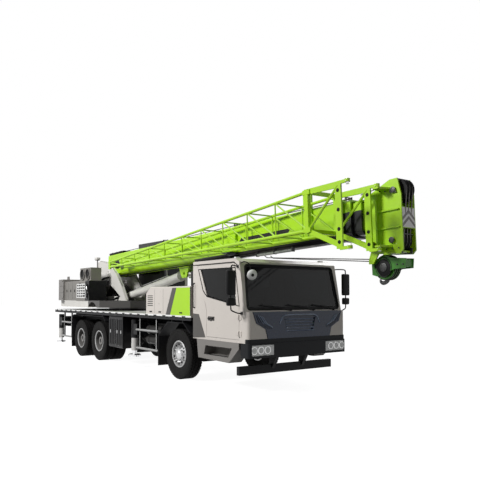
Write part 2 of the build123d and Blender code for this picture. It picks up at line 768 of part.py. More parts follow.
def mirrors():
    """Mirror heads on their arms, ahead of the doors."""
    y = half_body + mirror_reach
    x = cab_front_x - 95
    head = block((x - 40, x + 40), (y - 100, y + 100), (1790, 2260))
    low_head = block((x - 40, x + 40), (y - 90, y + 90), (1600, 1760))
    spine = bar((x, y, 1590), (x, y, 2300), 14)
    feet = [(x - 135, 2330), (x - 10, 1470)]
    plates = [block((foot_x - 35, foot_x + 35), (half_body, half_body + 14), (z - 30, z + 30)) for foot_x,
              z in feet]
    arms = [bar((x, y, end_z), (foot_x, half_body + 8, z), 12) for end_z,
            (foot_x, z) in zip((2295, 1595), feet)]
    return both_sides(head + low_head + spine + plates + arms)


def steps():
    """Step boxes under the doors and the trim panels behind them."""
    y = (half_body - 300, half_body)
    line = [(780, cab_floor_z), (840, 550), (1880, 530), (2190, 810), (2190, cab_floor_z)]
    box = side_slab(line, y)
    box -= side_slab([(1040, 630), (1100, 810), (1980, 810), (1860, 630)], (y[0] + 60, y[1] + 10))
    return both_sides(box)


# ---------------------------------------------------------------- outriggers
def outrigger_beam(x, side):
    """A box beam beside its twin; its outer end carries the jack tube."""
    place = x + side * (beam_width + beam_gap) / 2
    top = outrigger_top_z - outrigger_wall - beam_gap
    half = beam_width / 2
    beam = block((place - half, place + half), (-half_body + 70, jack_y - jack_radius + 20),
                 (top - beam_height, top))
    tube = post(place, jack_y, jack_radius, (float_z + float_thickness + 90, outrigger_top_z + 70))
    beam += tube
    beam -= post(place, jack_y, jack_rod_radius + jack_clearance, (0, outrigger_top_z))
    return beam if side > 0 else mirror(beam, about=Plane.XZ)


def outrigger_jack(x, side):
    place = x + side * (beam_width + beam_gap) / 2
    rod = post(place, jack_y, jack_rod_radius, (float_z + float_thickness, outrigger_top_z - 20))
    pad = post(place, jack_y, float_radius, (float_z, float_z + float_thickness))
    pad = chamfer(pad.edges().group_by(Axis.Z)[-1], 20)
    shape = rod + pad
    return shape if side > 0 else mirror(shape, about=Plane.XZ)


# ---------------------------------------------------------------- upper works
def turntable():
    half = upper_width / 2
    floor_top = upper_floor_z + upper_floor_height
    foot = slew_top_z + slew_clearance
    ring = Pos(slew_x, 0, (foot + upper_floor_z) / 2) * Cylinder(slew_ring_radius - 20,
                                                                 upper_floor_z - foot)
    cab_side_x = op_cab_rear_x - 20
    floor = flat_slab([(counterweight_front_x, -half), (upper_front_x, -half),
                       (upper_front_x + 500, -op_cab_inner_y),
                       (upper_front_x + 500, op_cab_inner_y), (cab_side_x, op_cab_inner_y),
                       (cab_side_x, half),
                       (counterweight_front_x, half)], (upper_floor_z, floor_top))
    tail = block((upper_rear_x, counterweight_front_x), (-half + 100, half - 100),
                 (upper_floor_z, floor_top))
    arch = Pos(-5000, -half, upper_floor_z - 260) * Rot(90, 0, 0) * Cylinder(420, 500)
    floor = floor + tail - arch
    cheek_line = [(-7250, floor_top - 10), (-7250, 2080), (-6700, 2330), (-6590, 2400), (-6540, 2880),
                  (-6300, 2930),
                  (-5800, 2850), (-5450, 2690), (-5100, 2460), (-4720, 2080), (-4420, floor_top - 10)]
    window = [(-5950, floor_top + 130), (-5950, 2250), (-5780, 2330), (-5490, 2110), (-5120, 1930),
              (-4880, floor_top + 130)]
    cheek = side_slab(cheek_line, (cheek_inner_y, cheek_inner_y + cheek_thickness))
    cheek -= side_slab(window, (cheek_inner_y - 10, cheek_inner_y + cheek_thickness + 10))
    shape = ring + floor + both_sides(cheek)
    reach = cheek_inner_y + cheek_thickness
    pivot = pin_y(pivot_x, pivot_z, pivot_pin_radius, (-reach - 30, reach + 30))
    shape += pivot
    lug = side_slab([(cylinder_foot_x - 160, floor_top - 10), (cylinder_foot_x - 80, cylinder_foot_z + 75),
                     (cylinder_foot_x + 70, cylinder_foot_z + 75), (cylinder_foot_x + 110, floor_top - 10)],
                    (eye_width / 2 + ear_gap, eye_width / 2 + ear_gap + 40))
    foot_pin = pin_y(cylinder_foot_x, cylinder_foot_z, eye_pin_radius,
                     (-eye_width / 2 - ear_gap - 40, eye_width / 2 + ear_gap + 40))
    return shape + both_sides(lug) + foot_pin


def counterweight():
    half = upper_width / 2 + 50
    block_shape = block((counterweight_rear_x, counterweight_front_x), (-half, half),
                        (upper_floor_z + upper_floor_height, counterweight_top_z))
    block_shape = fillet(edges_along(block_shape, Axis.Z).group_by(Axis.X)[0], counterweight_corner)
    eyes = []
    for y in (-900, 900):
        eye = side_slab([(-7760, counterweight_top_z - 5), (-7740, counterweight_top_z + 110),
                         (-7600, counterweight_top_z + 110), (-7580, counterweight_top_z - 5)],
                        (y - 15, y + 15))
        eye -= pin_y(-7670, counterweight_top_z + 60, 30, (y - 50, y + 50))
        eyes.append(eye)
    return block_shape + eyes


def winches():
    shape = None
    for x in (main_winch_x, aux_winch_x):
        inner = cheek_inner_y
        drum = pin_y(x, winch_z, winch_drum_radius, (-inner, inner))
        flanges = [pin_y(x, winch_z, winch_flange_radius, (y - 8, y + 8)) for y in (-inner + 40,
                                                                                    inner - 40)]
        winch = drum + flanges
        shape = winch if shape is None else shape + winch
    return shape


def machinery_covers():
    """Pump and valve covers with the oil cooler along the right side, and the tank cover on the left."""
    floor = upper_floor_z + upper_floor_height
    outer = upper_width / 2
    inner = 625
    dark = block((counterweight_front_x, -6250), (-outer, -inner), (floor, 2260))
    dark = fillet(edges_along(dark, Axis.X).group_by(Axis.Z)[-1], 30)
    louvre = block((-6250, -5200), (-outer - 20, -inner), (floor, 2260))
    louvre = fillet(edges_along(louvre, Axis.X).group_by(Axis.Z)[-1], 40)
    holes = [block((-6150 + 165 * i, -6020 + 165 * i), (-outer - 30, -outer + 20),
                   (1775 + 80 * j, 1825 + 80 * j))
             for i in range(4) for j in range(5)]
    left = block((counterweight_front_x, op_cab_rear_x - 120), (inner, outer), (floor, 2260))
    left = fillet(edges_along(left, Axis.X).group_by(Axis.Z)[-1], 40)
    return dark + (louvre - holes) + left + oil_cooler(-1010, -inner - 50, 2250)


def oil_cooler(outer, inner, foot):
    """Cooler box with the mouths of its two fans."""
    shape = block((-6320, -5450), (outer, inner), (foot, 2660))
    for x in (-6100, -5670):
        shape += pin_y(x, 2465, 180, (outer - 30, outer + 10))
        shape -= pin_y(x, 2465, 150, (outer - 60, outer + 40))
    return shape


def op_cab_line(inset=0):
    return [(op_cab_rear_x + inset, op_cab_foot_z + inset), (op_cab_rear_x + inset, op_cab_roof_z - inset),
            (op_cab_front_x - op_cab_rake - inset, op_cab_roof_z - inset), (op_cab_front_x - inset, 2400),
            (op_cab_front_x - inset, op_cab_foot_z + 250), (op_cab_front_x - 150 - inset,
                                                            op_cab_foot_z + inset)]


op_door_x = (op_cab_rear_x + 560, op_cab_front_x - 290)


def operator_cab():
    y = (op_cab_inner_y, op_cab_outer_y)
    outer = side_slab(op_cab_line(), y)
    room = side_slab(op_cab_line(op_cab_wall), (y[0] + op_cab_wall, y[1] - op_cab_wall))
    shape = outer - room
    front = block((op_cab_front_x - op_cab_rake - 60, op_cab_front_x + 20), (y[0] + 90, y[1] - 90),
                  (op_cab_foot_z + 300, op_cab_roof_z - 120))
    door_hole = block((op_door_x[0] - door_gap, op_door_x[1] + door_gap),
                      (y[1] - op_cab_wall - 10, y[1] + 10),
                      (op_cab_foot_z + 90 - door_gap, op_cab_roof_z - 130 + door_gap))
    side_hole = block((op_cab_rear_x + 120, op_door_x[1]), (y[0] - 10, y[0] + op_cab_wall + 10),
                      (2450, op_cab_roof_z - 130))
    rear_pane = block((op_cab_rear_x + 110, op_door_x[0] - 90), (y[1] - op_cab_wall - 10, y[1] + 10),
                      (2300, op_cab_roof_z - 130))
    roof_hole = block((op_cab_rear_x + 500, op_cab_front_x - 420), (y[0] + 110, y[1] - 110),
                      (op_cab_roof_z - 80, op_cab_roof_z + 10))
    bracket = block((op_cab_rear_x, op_cab_rear_x + 900), (cheek_inner_y + cheek_thickness, y[0]),
                    (upper_floor_z + upper_floor_height, upper_floor_z + upper_floor_height + 160))
    shape -= [front, door_hole, side_hole, rear_pane, roof_hole]
    x = op_door_x[0] - door_gap / 2
    plate = (x - hinge_radius - 52, x - hinge_radius - 2)
    leaf_y = (y[1], y[1] + hinge_leaf)
    mirrored = [mirror(hinge_post(-x, y[1] + hinge_offset, z, (-plate[1], -plate[0]), leaf_y),
                       about=Plane.YZ)
                for z in op_hinge_z]
    return shape + bracket + mirrored


def operator_glass():
    y = (op_cab_inner_y, op_cab_outer_y)
    mid = op_cab_wall / 2
    t = glass_thickness / 2
    skin = side_slab(op_cab_line(mid - t), y) - side_slab(op_cab_line(mid + t), (y[0] - 10, y[1] + 10))
    front = skin & block((op_cab_front_x - op_cab_rake - 59.7, op_cab_front_x + 20),
                         (y[0] + 90.3, y[1] - 90.3),
                         (op_cab_foot_z + 300.3, op_cab_roof_z - 120.3))
    side = block((op_cab_rear_x + 120.3, op_door_x[1] - 0.3), (y[0] + mid - t, y[0] + mid + t),
                 (2450.3, op_cab_roof_z - 130.3))
    rear = block((op_cab_rear_x + 110.3, op_door_x[0] - 90.3), (y[1] - mid - t, y[1] - mid + t),
                 (2300.3, op_cab_roof_z - 130.3))
    roof = block((op_cab_rear_x + 500.3, op_cab_front_x - 420.3), (y[0] + 110.3, y[1] - 110.3),
                 (op_cab_roof_z - mid - t, op_cab_roof_z - mid + t))
    return front + side + rear + roof


def operator_seat():
    y = (op_cab_inner_y + op_cab_outer_y) / 2
    floor = op_cab_foot_z + op_cab_wall
    plinth = block((-4780, -4420), (y - 150, y + 150), (floor, floor + 330))
    cushion = block((-4840, -4330), (y - 230, y + 230), (floor + 330, floor + 450))
    back = side_slab([(-4950, floor + 1120), (-4850, floor + 1120), (-4720, floor + 450),
                      (-4840, floor + 450)],
                     (y - 220, y + 220))
    arms = [block((-4800, -4330), (y + s * 285 - 35, y + s * 285 + 35),
                  (floor + 560, floor + 640)) for s in (-1, 1)]
    ties = [block((-4700, -4600), sorted((y + s * 225, y + s * 285)),
                  (floor + 400, floor + 600)) for s in (-1, 1)]
    return plinth + cushion + back + arms + ties


def operator_door():
    y = (op_cab_outer_y - op_cab_wall, op_cab_outer_y)
    leaf = block(op_door_x, y, (op_cab_foot_z + 90, op_cab_roof_z - 130))
    hole = block((op_door_x[0] + 80, op_door_x[1] - 80), (y[0] - 10, y[1] + 10),
                 (2300, op_cab_roof_z - 210))
    leaf -= hole
    x = op_door_x[0] - door_gap / 2
    leaf_x = (-op_door_x[0] - 70, -x - hinge_radius - 2)
    leaf_y = (y[1], y[1] + hinge_leaf)
    leaf += [mirror(hinge_barrel(-x, y[1] + hinge_offset, z, leaf_x, leaf_y),
                    about=Plane.YZ) for z in op_hinge_z]
    return leaf


def operator_door_glass():
    middle = op_cab_outer_y - op_cab_wall / 2
    return block((op_door_x[0] + 80.3, op_door_x[1] - 80.3), (middle - glass_thickness / 2,
                                                              middle + glass_thickness / 2),
                 (2300.3, op_cab_roof_z - 210.3))


# ---------------------------------------------------------------- boom, drawn along its own axis
def section_size(index):
    """Outer width and height of a boom section, 0 for the base."""
    return boom_width - index * section_step, boom_height - index * section_step


def section_profile(width, height, grow=0):
    """Boom cross-section, flat above and rounded below, as a face across the boom's axis."""
    middle_w = boom_foot_w + boom_height / 2
    w, h = width + 2 * grow, height + 2 * grow
    face = Rectangle(w, h)
    corners = face.vertices().group_by(Axis.Y)
    low = max(boom_bottom_radius - (boom_width - width) / 2 + grow, 20)
    high = max(boom_top_radius - (boom_width - width) / 6 + grow, 6)
    face = fillet(corners[0], low)
    face = fillet(face.vertices().group_by(Axis.Y)[-1], high)
    return Plane.YZ * Pos(0, middle_w, 0) * face


def section_tube(index, start, end):
    width, height = section_size(index)
    outer = extrude(section_profile(width, height), amount=end - start)
    inner = extrude(section_profile(width, height, -boom_wall), amount=end - start)
    tube = outer - inner
    if index < 3:
        ring = extrude(section_profile(width, height, collar_rise), amount=collar_length)
        ring -= extrude(section_profile(width, height, -boom_wall), amount=collar_length)
        tube += Pos(end - start - collar_length, 0, 0) * ring
        tube += [Pos(end - start - collar_length, 0, 0) * pad for pad in wear_pads(index)]
    return Pos(start, 0, 0) * tube


def wear_pads(index):
    """Pads under, over and beside the next section, inside the collar."""
    width, height = section_size(index)
    next_width, next_height = section_size(index + 1)
    middle_w = boom_foot_w + boom_height / 2
    gap = (height - next_height) / 2
    x = (10, collar_length)
    pads = []
    for side in (-1, 1):
        w = sorted((middle_w + side * (next_height / 2 + pad_clearance),
                    middle_w + side * (height / 2 - boom_wall / 2)))
        pads.append(block(x, (-80, 80), w))
        y = sorted((side * (next_width / 2 + pad_clearance), side * (width / 2 - boom_wall / 2)))
        pads.append(block(x, y, (middle_w - 60, middle_w + 60)))
    return pads


def section_span(index):
    """Where a section starts and ends along the boom when it is drawn in."""
    start = inner_tail_u + inner_stagger * (index - 1) if index else -base_tail
    return start, base_length + section_stagger * index - base_tail


def boom_base():
    start, end = section_span(0)
    tube = section_tube(0, start, end)
    half = boom_width / 2
    boss = pin_y(0, 0, pivot_pin_radius + 45, (-half - 10, half + 10))
    cheeks = [block((-base_tail, 700), sorted((s * (half - 30), s * (half - boom_wall / 2))),
                    (boom_foot_w + 60, 250))
              for s in (-1, 1)]
    tube += cheeks
    tube += boss
    tube -= pin_y(0, 0, pivot_pin_radius + pin_clearance, (-half - 50, half + 50))
    ear_y = (eye_width / 2 + ear_gap, eye_width / 2 + ear_gap + 40)
    ear = side_slab([(bracket_u - 260, boom_foot_w + 8), (bracket_u - 110, bracket_w - 110),
                     (bracket_u + 110, bracket_w - 110), (bracket_u + 260, boom_foot_w + 8)], ear_y)
    ear -= pin_y(bracket_u, bracket_w, eye_pin_radius + 8, (0, 400))
    tube += both_sides(ear)
    return tube + jib_shelf() + jib_guide()


def jib_shelf():
    """Box on the boom's side with a shelf just under the jib's lower chord."""
    half = boom_width / 2
    u = (jib_rest_u - jib_rest_half, jib_rest_u + jib_rest_half)
    t = (jib_hinge_u - jib_root_length - u[1]) / (jib_length - jib_root_length)
    top = jib_foot_w + t * (jib_tip_foot_w - jib_foot_w) - chord_radius - pad_clearance
    shelf = block(u, (jib_hinge_y - 120, -half + 5), (top - 20, top))
    box = block(u, (-half - 62, -half + 5), (top - 60, top + 400))
    return shelf + box


def jib_guide():
    """Plate on the boom's side that stands up past its top, behind the jib's root."""
    half = boom_width / 2
    u = jib_hinge_u - jib_root_length - 850
    return block((u, u + 200), (-half - 40, -half + 5), (boom_foot_w + 240, boom_top_w + 260))


def boom_section(index):
    start, end = section_span(index)
    return section_tube(index, start, end)


def boom_head():
    start, end = section_span(3)
    tube = section_tube(3, start, end)
    half = section_size(3)[0] / 2
    line = [(end - 120, boom_foot_w + 120), (end - 60, head_foot_w + 40), (head_front_u - 60, head_foot_w),
            (head_front_u, head_foot_w + 60), (head_front_u, head_top_w - 260),
            (head_front_u - 60, head_top_w),
            (head_front_u - 200, head_top_w), (end - 60, head_top_w - 170), (end - 120, boom_top_w - 120)]
    plate = side_slab(line, (half - head_plate_thickness, half))
    shape = tube + both_sides(plate)
    inner = half - head_plate_thickness
    front = block((head_front_u - 20, head_front_u), (-inner - 5, inner + 5), head_plate_w)
    foot = block((end + 150, head_front_u - 80), (-inner - 5, inner + 5),
                 (head_foot_w + 30, head_foot_w + 55))
    pins = [pin_y(u, w, head_pin_radius, (-half - 15, half + 15)) for u, w, radius in head_pins()]
    ear_line = [(hook_pivot_u - 45, hook_pivot_w + 30), (hook_pivot_u - 45, hook_pivot_w - 40),
                (hook_pivot_u + 45, hook_pivot_w - 40), (hook_pivot_u + 150, head_foot_w + 30),
                (hook_pivot_u + 150, head_foot_w + 130), (hook_pivot_u + 25, head_foot_w + 130)]
    pins += [side_slab(ear_line, (-half, -inner)), side_slab(ear_line, (inner, half))]
    pins.append(pin_y(hook_pivot_u, hook_pivot_w, hook_pin_radius, (-half, half)))
    lugs = []
    for w in (lug_foot_w + 70, lug_top_w - 70):
        lug = flat_slab([(jib_hinge_u - 110, -half + 5), (jib_hinge_u + 110, -half + 5),
                         (jib_hinge_u + 50, jib_hinge_y - 50),
                         (jib_hinge_u - 50, jib_hinge_y - 50)], (w - 15, w + 15))
        lug -= post(jib_hinge_u, jib_hinge_y, 20.4, (w - 50, w + 50))
        lugs.append(lug)
    return shape + front + foot + pins + lugs


def head_pins():
    """Place and sheave radius of the two sheave pins, as (u, w, radius)."""
    return [(head_front_u - 130, head_top_w - top_sheave_radius + 10, top_sheave_radius),
            (head_front_u - foot_sheave_radius - 25, head_foot_w + foot_sheave_radius + 60,
             foot_sheave_radius)]


def head_sheaves():
    shape = None
    for u, w, radius in head_pins():
        for y in (-75, 0, 75):
            wheel = pin_y(u, w, radius, (y - sheave_width / 2, y + sheave_width / 2))
            wheel -= pin_y(u, w, head_pin_radius + pin_clearance, (y - 50, y + 50))
            shape = wheel if shape is None else shape + wheel
    return shape


def luff_barrel():
    """Barrel drawn along its own axis from the foot pin."""
    length = cylinder_pose()[1]
    eye = pin_y(0, 0, eye_radius, (-eye_width / 2, eye_width / 2))
    end = length - 330
    tube = bar((neck_length, 0, 0), (end, 0, 0), barrel_radius)
    tube += block((0, neck_length + 5), (-eye_width / 2, eye_width / 2),
                  (-eye_radius * 0.8, eye_radius * 0.8))
    gland = bar((end - 60, 0, 0), (end, 0, 0), barrel_radius + 15)
    shape = eye + tube + gland
    shape -= pin_y(0, 0, eye_pin_radius + pin_clearance, (-200, 200))
    shape -= bar((neck_length + 40, 0, 0), (end + 10, 0, 0), rod_radius + pin_clearance)
    return cylinder_place() * shape


def luff_rod():
    length = cylinder_pose()[1]
    eye = pin_y(length, 0, eye_radius, (-eye_width / 2, eye_width / 2))
    rod = bar((neck_length + 60, 0, 0), (length - 40, 0, 0), rod_radius)
    pin = pin_y(length, 0, eye_pin_radius, (-eye_width / 2 - ear_gap + 2, eye_width / 2 + ear_gap - 2))
    return cylinder_place() * (rod + eye + pin)


def cylinder_pose():
    """Angle above level and pin-to-pin length of the luffing cylinder with the boom on its rest."""
    a = radians(stowed_tilt)
    x = pivot_x + bracket_u * cos(a) - bracket_w * sin(a)
    z = pivot_z + bracket_u * sin(a) + bracket_w * cos(a)
    run, rise = x - cylinder_foot_x, z - cylinder_foot_z
    return rise / run, hypot(run, rise)


def cylinder_place():
    slope, length = cylinder_pose()
    return Plane(origin=(cylinder_foot_x, 0, cylinder_foot_z), x_dir=(1, 0, slope),
                 z_dir=(-slope, 0, 1)).location


# ---------------------------------------------------------------- jib, in the boom's frame
def jib_station(t):
    """Corners of the lattice at t = 0 (root frame) to 1 (tip): near/far y, foot and top w."""
    u = jib_hinge_u - jib_root_length - t * (jib_length - jib_root_length)
    middle = jib_hinge_y - jib_width / 2
    half = (jib_width + t * (jib_tip_width - jib_width)) / 2
    foot = jib_foot_w + t * (jib_tip_foot_w - jib_foot_w)
    top = jib_top_w + t * (jib_tip_top_w - jib_top_w)
    return u, (middle - half, middle + half), (foot, top)


def jib():
    bays = 10
    stations = [jib_station(i / bays) for i in range(bays + 1)]
    parts = []
    u0, y0, w0 = stations[0]
    u1, y1, w1 = stations[-1]
    for i in range(2):
        for j in range(2):
            parts.append(rod((u0, y0[i], w0[j]), (u1, y1[i], w1[j]),
                             chord_radius if j == 0 else chord_radius - 4))
    for a, b in zip(stations, stations[1:]):
        for i in range(2):
            parts.append(rod((a[0], a[1][i], a[2][0]), (b[0], b[1][i], b[2][1]), brace_radius, 6))
            parts.append(rod((b[0], b[1][i], b[2][0]), (b[0], b[1][i], b[2][1]), brace_radius, 6))
        for j in range(2):
            parts.append(rod((b[0], b[1][0], b[2][j]), (b[0], b[1][1], b[2][j]), brace_radius, 6))
    for i in range(2):
        parts.append(block((u0 - 40, u0 + 40), (y0[i] - 35, y0[i] + 35), (w0[0] - 40, w0[1] + 40)))
        parts.append(block((u1 - 60, u1 + 60), (y1[i] - 20, y1[i] + 20), (w1[0] - 60, w1[1] + 40)))
    for j in range(2):
        parts.append(block((u0 - 30, u0 + 30), (y0[0], y0[1]), (w0[j] - 30, w0[j] + 30)))
    leg_u = jib_hinge_u - 190
    for y in (jib_hinge_y - jib_width, jib_hinge_y):
        t = (y - leg_thickness / 2, y + leg_thickness / 2)
        parts.append(block((leg_u - 60, leg_u + 60), t, (lug_foot_w + 20, lug_top_w - 20)))
        parts.append(side_slab([(u0, w0[1] - 45), (u0, w0[1] + 45), (leg_u + 60, lug_top_w),
                                (leg_u + 60, lug_top_w - 100)], t))
        parts.append(side_slab([(u0, w0[0] - 40), (u0, w0[0] + 40), (leg_u + 60, lug_foot_w + 100),
                                (leg_u + 60, lug_foot_w)], t))
        parts.append(rod((u0, y, w0[0]), (leg_u, y, lug_top_w - 60), 22, 6))
        for w in (lug_foot_w + 70, lug_top_w - 70):
            eye = post(jib_hinge_u, y, 42, (w + 22, w + 72)) if w > 0 else post(jib_hinge_u, y, 42,
                                                                                (w - 72, w - 22))
            arm_w = (w + 22, w + 72) if w > 0 else (w - 72, w - 22)
            arm = block((leg_u, jib_hinge_u), (y - 15, y + 15), arm_w)
            parts.append(arm)
            parts.append(eye)
    shape = parts[0] + parts[1:]
    for w, side in ((lug_foot_w + 70, -1), (lug_top_w - 70, 1)):
        span = sorted((w - side * 20, w + side * 72))
        shape += post(jib_hinge_u, jib_hinge_y, 20, span)
    return shape


def hook_block():
    """Hook block: two cheeks with sheaves between, hung by its rear corner below the boom head."""
    half = hook_width / 2
    line = [(-45, 50), (-30, -215), (60, -240), (230, -190), (400, -130), (600, -120), (610, 30), (340, 50)]
    windows = [side_slab([(x, -110), (x, -30), (x + 70, -30), (x + 70, -110)], (half - 30, half + 10))
               for x in (10, 110)]
    cheek = side_slab(line, (half - 20, half)) - windows
    shape = both_sides(cheek)
    axle = (193, -98)
    shape += pin_y(*axle, 40, (-half, half))
    shape += [pin_y(*axle, hook_sheave_radius, (y - 22, y + 22)) for y in (-50, 0, 50)]
    shape += block((430, 590), (-half, half), (-100, 10))
    shape += block((-42, 45), (-half, half), (-40, 48))
    return shape - pin_y(0, 0, hook_pin_radius + pin_clearance, (-half - 10, half + 10))


# ---------------------------------------------------------------- all the pieces
def wheel_parts(name, x, side, rim_shape, tyre_places):
    """One wheel's tyre and rim nodes, mirrored for the right side."""
    tyres = None
    for y in tyre_places:
        ring = Pos(0, 0, axle_z) * tyre(y)
        tyres = ring if tyres is None else tyres + ring
    pair = {}
    for kind, shape in (("tyre", tyres), ("rim", rim_shape)):
        placed = Pos(x, 0, 0) * shape
        pair[f"{kind}_{name}"] = placed if side > 0 else mirror(placed, about=Plane.XZ)
    return pair


def build():
    on_boom = {
        "boom_base": boom_base(),
        "boom_section_2": boom_section(1),
        "boom_section_3": boom_section(2),
        "boom_head": boom_head(),
        "head_sheaves": head_sheaves(),
        "jib": jib(),
        "hook_block": Pos(hook_pivot_u, 0, hook_pivot_w) * Rot(0, stowed_tilt, 0) * hook_block(),
    }
    nodes = {
        "carrier_frame": carrier_frame(),
        "boom_rest": boom_rest(),
        "tow_clevis": tow_clevis(),
        "deck": deck(),
        "side_covers": side_covers(),
        "engine": engine(),
        "axles": axles(),
        "mudguards": mudguards(),
        "lockers_and_guards": tanks() + side_guards(),
        "cab_shell": cab_shell(),
        "cab_glass": cab_glass(),
        "cab_fascia": cab_fascia(),
        "cab_interior": cab_interior(),
        "front_bumper": front_bumper(),
        "lamps": lamps(),
        "mirrors": mirrors(),
        "turntable": turntable(),
        "counterweight": counterweight(),
        "winches": winches(),
        "machinery_covers": machinery_covers(),
        "operator_cab": operator_cab(),
        "operator_glass": operator_glass(),
        "operator_seat": operator_seat(),
        "operator_door": operator_door(),
        "operator_door_glass": operator_door_glass(),
        "luff_barrel": luff_barrel(),
        "luff_rod": luff_rod(),
    }
    for side, hand in ((-1, "right"), (1, "left")):
        nodes[f"cab_door_{hand}"] = cab_door(side)
        nodes[f"door_glass_{hand}"] = door_glass(side)
        nodes[f"knuckle_{hand}"] = knuckle(side)
        nodes.update(wheel_parts(f"front_{hand}", 0, side, front_rim(), [tyre_y]))
        for name, x in zip(("mid", "rear"), rear_axles_x):
            nodes.update(wheel_parts(f"{name}_{hand}", x, side, twin_rim(), [tyre_y, twin_y]))
        for name, x in (("front", front_outrigger_x), ("rear", rear_outrigger_x)):
            nodes[f"outrigger_{name}_{hand}"] = outrigger_beam(x, side)
            nodes[f"jack_{name}_{hand}"] = outrigger_jack(x, side)
    for name, shape in on_boom.items():
        nodes[name] = boom_frame * shape
    return nodes


def centred(nodes):
    """Move everything so that the origin is the middle of the footprint, on the ground."""
    boxes = [shape.bounding_box() for shape in nodes.values()]
    low = min(box.min.X for box in boxes)
    high = max(box.max.X for box in boxes)
    return Pos(-(low + high) / 2, 0, 0), (low + high) / 2


parts = build()
place, middle_x = centred(parts)
os.makedirs("parts", exist_ok=True)
for name, shape in parts.items():
    export_step(place * shape, f"parts/{name}.step")
print(len(parts), "nodes; front axle at x =", round(-middle_x, 3))
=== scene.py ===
# Mobile crane in driving order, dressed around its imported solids.
import json
import math
import bpy
import bmesh
from mathutils import Matrix, Vector


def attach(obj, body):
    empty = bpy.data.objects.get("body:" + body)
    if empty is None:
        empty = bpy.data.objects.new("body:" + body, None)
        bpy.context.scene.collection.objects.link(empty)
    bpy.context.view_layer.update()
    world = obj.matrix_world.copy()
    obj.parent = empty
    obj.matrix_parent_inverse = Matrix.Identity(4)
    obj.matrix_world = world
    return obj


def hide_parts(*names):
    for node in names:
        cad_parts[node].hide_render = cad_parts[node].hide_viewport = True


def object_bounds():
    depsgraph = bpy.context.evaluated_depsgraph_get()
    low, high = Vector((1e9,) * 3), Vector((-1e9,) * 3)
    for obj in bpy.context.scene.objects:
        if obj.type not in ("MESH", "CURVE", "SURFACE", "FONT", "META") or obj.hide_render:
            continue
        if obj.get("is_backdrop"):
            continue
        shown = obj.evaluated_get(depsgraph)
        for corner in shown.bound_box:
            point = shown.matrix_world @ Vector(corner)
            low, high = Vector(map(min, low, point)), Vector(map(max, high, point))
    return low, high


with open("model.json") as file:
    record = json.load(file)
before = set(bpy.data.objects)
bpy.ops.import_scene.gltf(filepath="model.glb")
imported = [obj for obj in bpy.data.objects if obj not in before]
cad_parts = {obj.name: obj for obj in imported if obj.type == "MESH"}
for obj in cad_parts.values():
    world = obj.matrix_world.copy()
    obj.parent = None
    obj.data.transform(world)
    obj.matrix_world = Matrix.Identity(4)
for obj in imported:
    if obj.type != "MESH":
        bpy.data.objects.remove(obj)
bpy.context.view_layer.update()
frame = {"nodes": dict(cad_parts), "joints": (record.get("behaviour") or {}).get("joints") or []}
nodes = frame["nodes"]
joints = {joint["name"]: joint for joint in frame["joints"]}
print("frame loaded:", len(nodes), "nodes")

frontAxle = joints["steer_right"]["pos_m"][0]            # every x below is counted from the front axle
boomPivot = Vector(joints["boom_luff"]["pos_m"])
boomDir = Vector(joints["section_2_slide"]["axis"])      # along the boom, towards its head
boomUp = Vector((-boomDir.z, 0, boomDir.x))
forward, across, upward = (1, 0, 0), (0, 1, 0), (0, 0, 1)
hands = ((-1, "right"), (1, "left"))                    # the crane's two sides along y


# places and small modelling helpers
def at(x, y, z):
    return Vector((frontAxle + x, y, z))


def path(points, side=1):
    # places along a line, on either side of the crane
    return [at(x, side * y, z) for x, y, z in points]


def turned(angle, axis):
    return Matrix.Rotation(angle, 4, axis)


def onBoom(u, y, w):
    return boomPivot + boomDir * u + boomUp * w + Vector((0, y, 0))


def boomTurn(shape):
    # brings a shape drawn as (along the boom, y, above it) onto the boom
    turn = Matrix((boomDir, across, boomUp)).transposed().to_4x4()
    bmesh.ops.transform(shape, matrix=Matrix.Translation(boomPivot) @ turn, verts=shape.verts)
    return shape


def box(shape, low, high, bevel=0.0, segments=1):
    size = [b - a for a, b in zip(low, high)]
    middle = [(a + b) / 2 for a, b in zip(low, high)]
    place = Matrix.Translation(middle) @ Matrix.Diagonal((*size, 1))
    made = bmesh.ops.create_cube(shape, size=1, matrix=place)["verts"]
    if bevel:
        edges = list({edge for vert in made for edge in vert.link_edges})
        bmesh.ops.bevel(shape, geom=edges, offset=bevel, segments=segments, affect="EDGES", profile=0.5,
                        material=-1)
    return made


def rod(shape, start, end, radius, sides=12, tip=None, bevel=0.0):
    # a round bar or cone from start to end
    start, end = Vector(start), Vector(end)
    along = end - start
    place = Matrix.Translation((start + end) / 2) @ along.to_track_quat("Z", "Y").to_matrix().to_4x4()
    made = bmesh.ops.create_cone(shape, cap_ends=True, segments=sides, radius1=radius,
                                 radius2=radius if tip is None else tip, depth=along.length,
                                 matrix=place)["verts"]
    if bevel:
        edges = {edge for vert in made for edge in vert.link_edges}
        edges = [edge for edge in edges if any(len(face.verts) > 4 for face in edge.link_faces)]
        bmesh.ops.bevel(shape, geom=edges, offset=bevel, segments=2, affect="EDGES", profile=0.5, material=-1)
    return made


def plate(shape, points, low, high, flat="y", bevel=0.0):
    # a flat plate: its outline in the two other axes, from low to high along the flat one
    order = {"x": lambda a, b, c: (c, a, b), "y": lambda a, b, c: (a, c, b),
             "z": lambda a, b, c: (a, b, c)}[flat]
    verts = [shape.verts.new(order(a, b, low)) for a, b in points]
    face = shape.faces.new(verts)
    grown = bmesh.ops.extrude_face_region(shape, geom=[face])["geom"]
    moved = [item for item in grown if isinstance(item, bmesh.types.BMVert)]
    bmesh.ops.translate(shape, verts=moved, vec=order(0, 0, high - low))
    if bevel:
        edges = [e for e in grown if isinstance(e, bmesh.types.BMEdge)]
        bmesh.ops.bevel(shape, geom=edges, offset=bevel, segments=2, affect="EDGES", profile=0.5, material=-1)
    return verts + moved


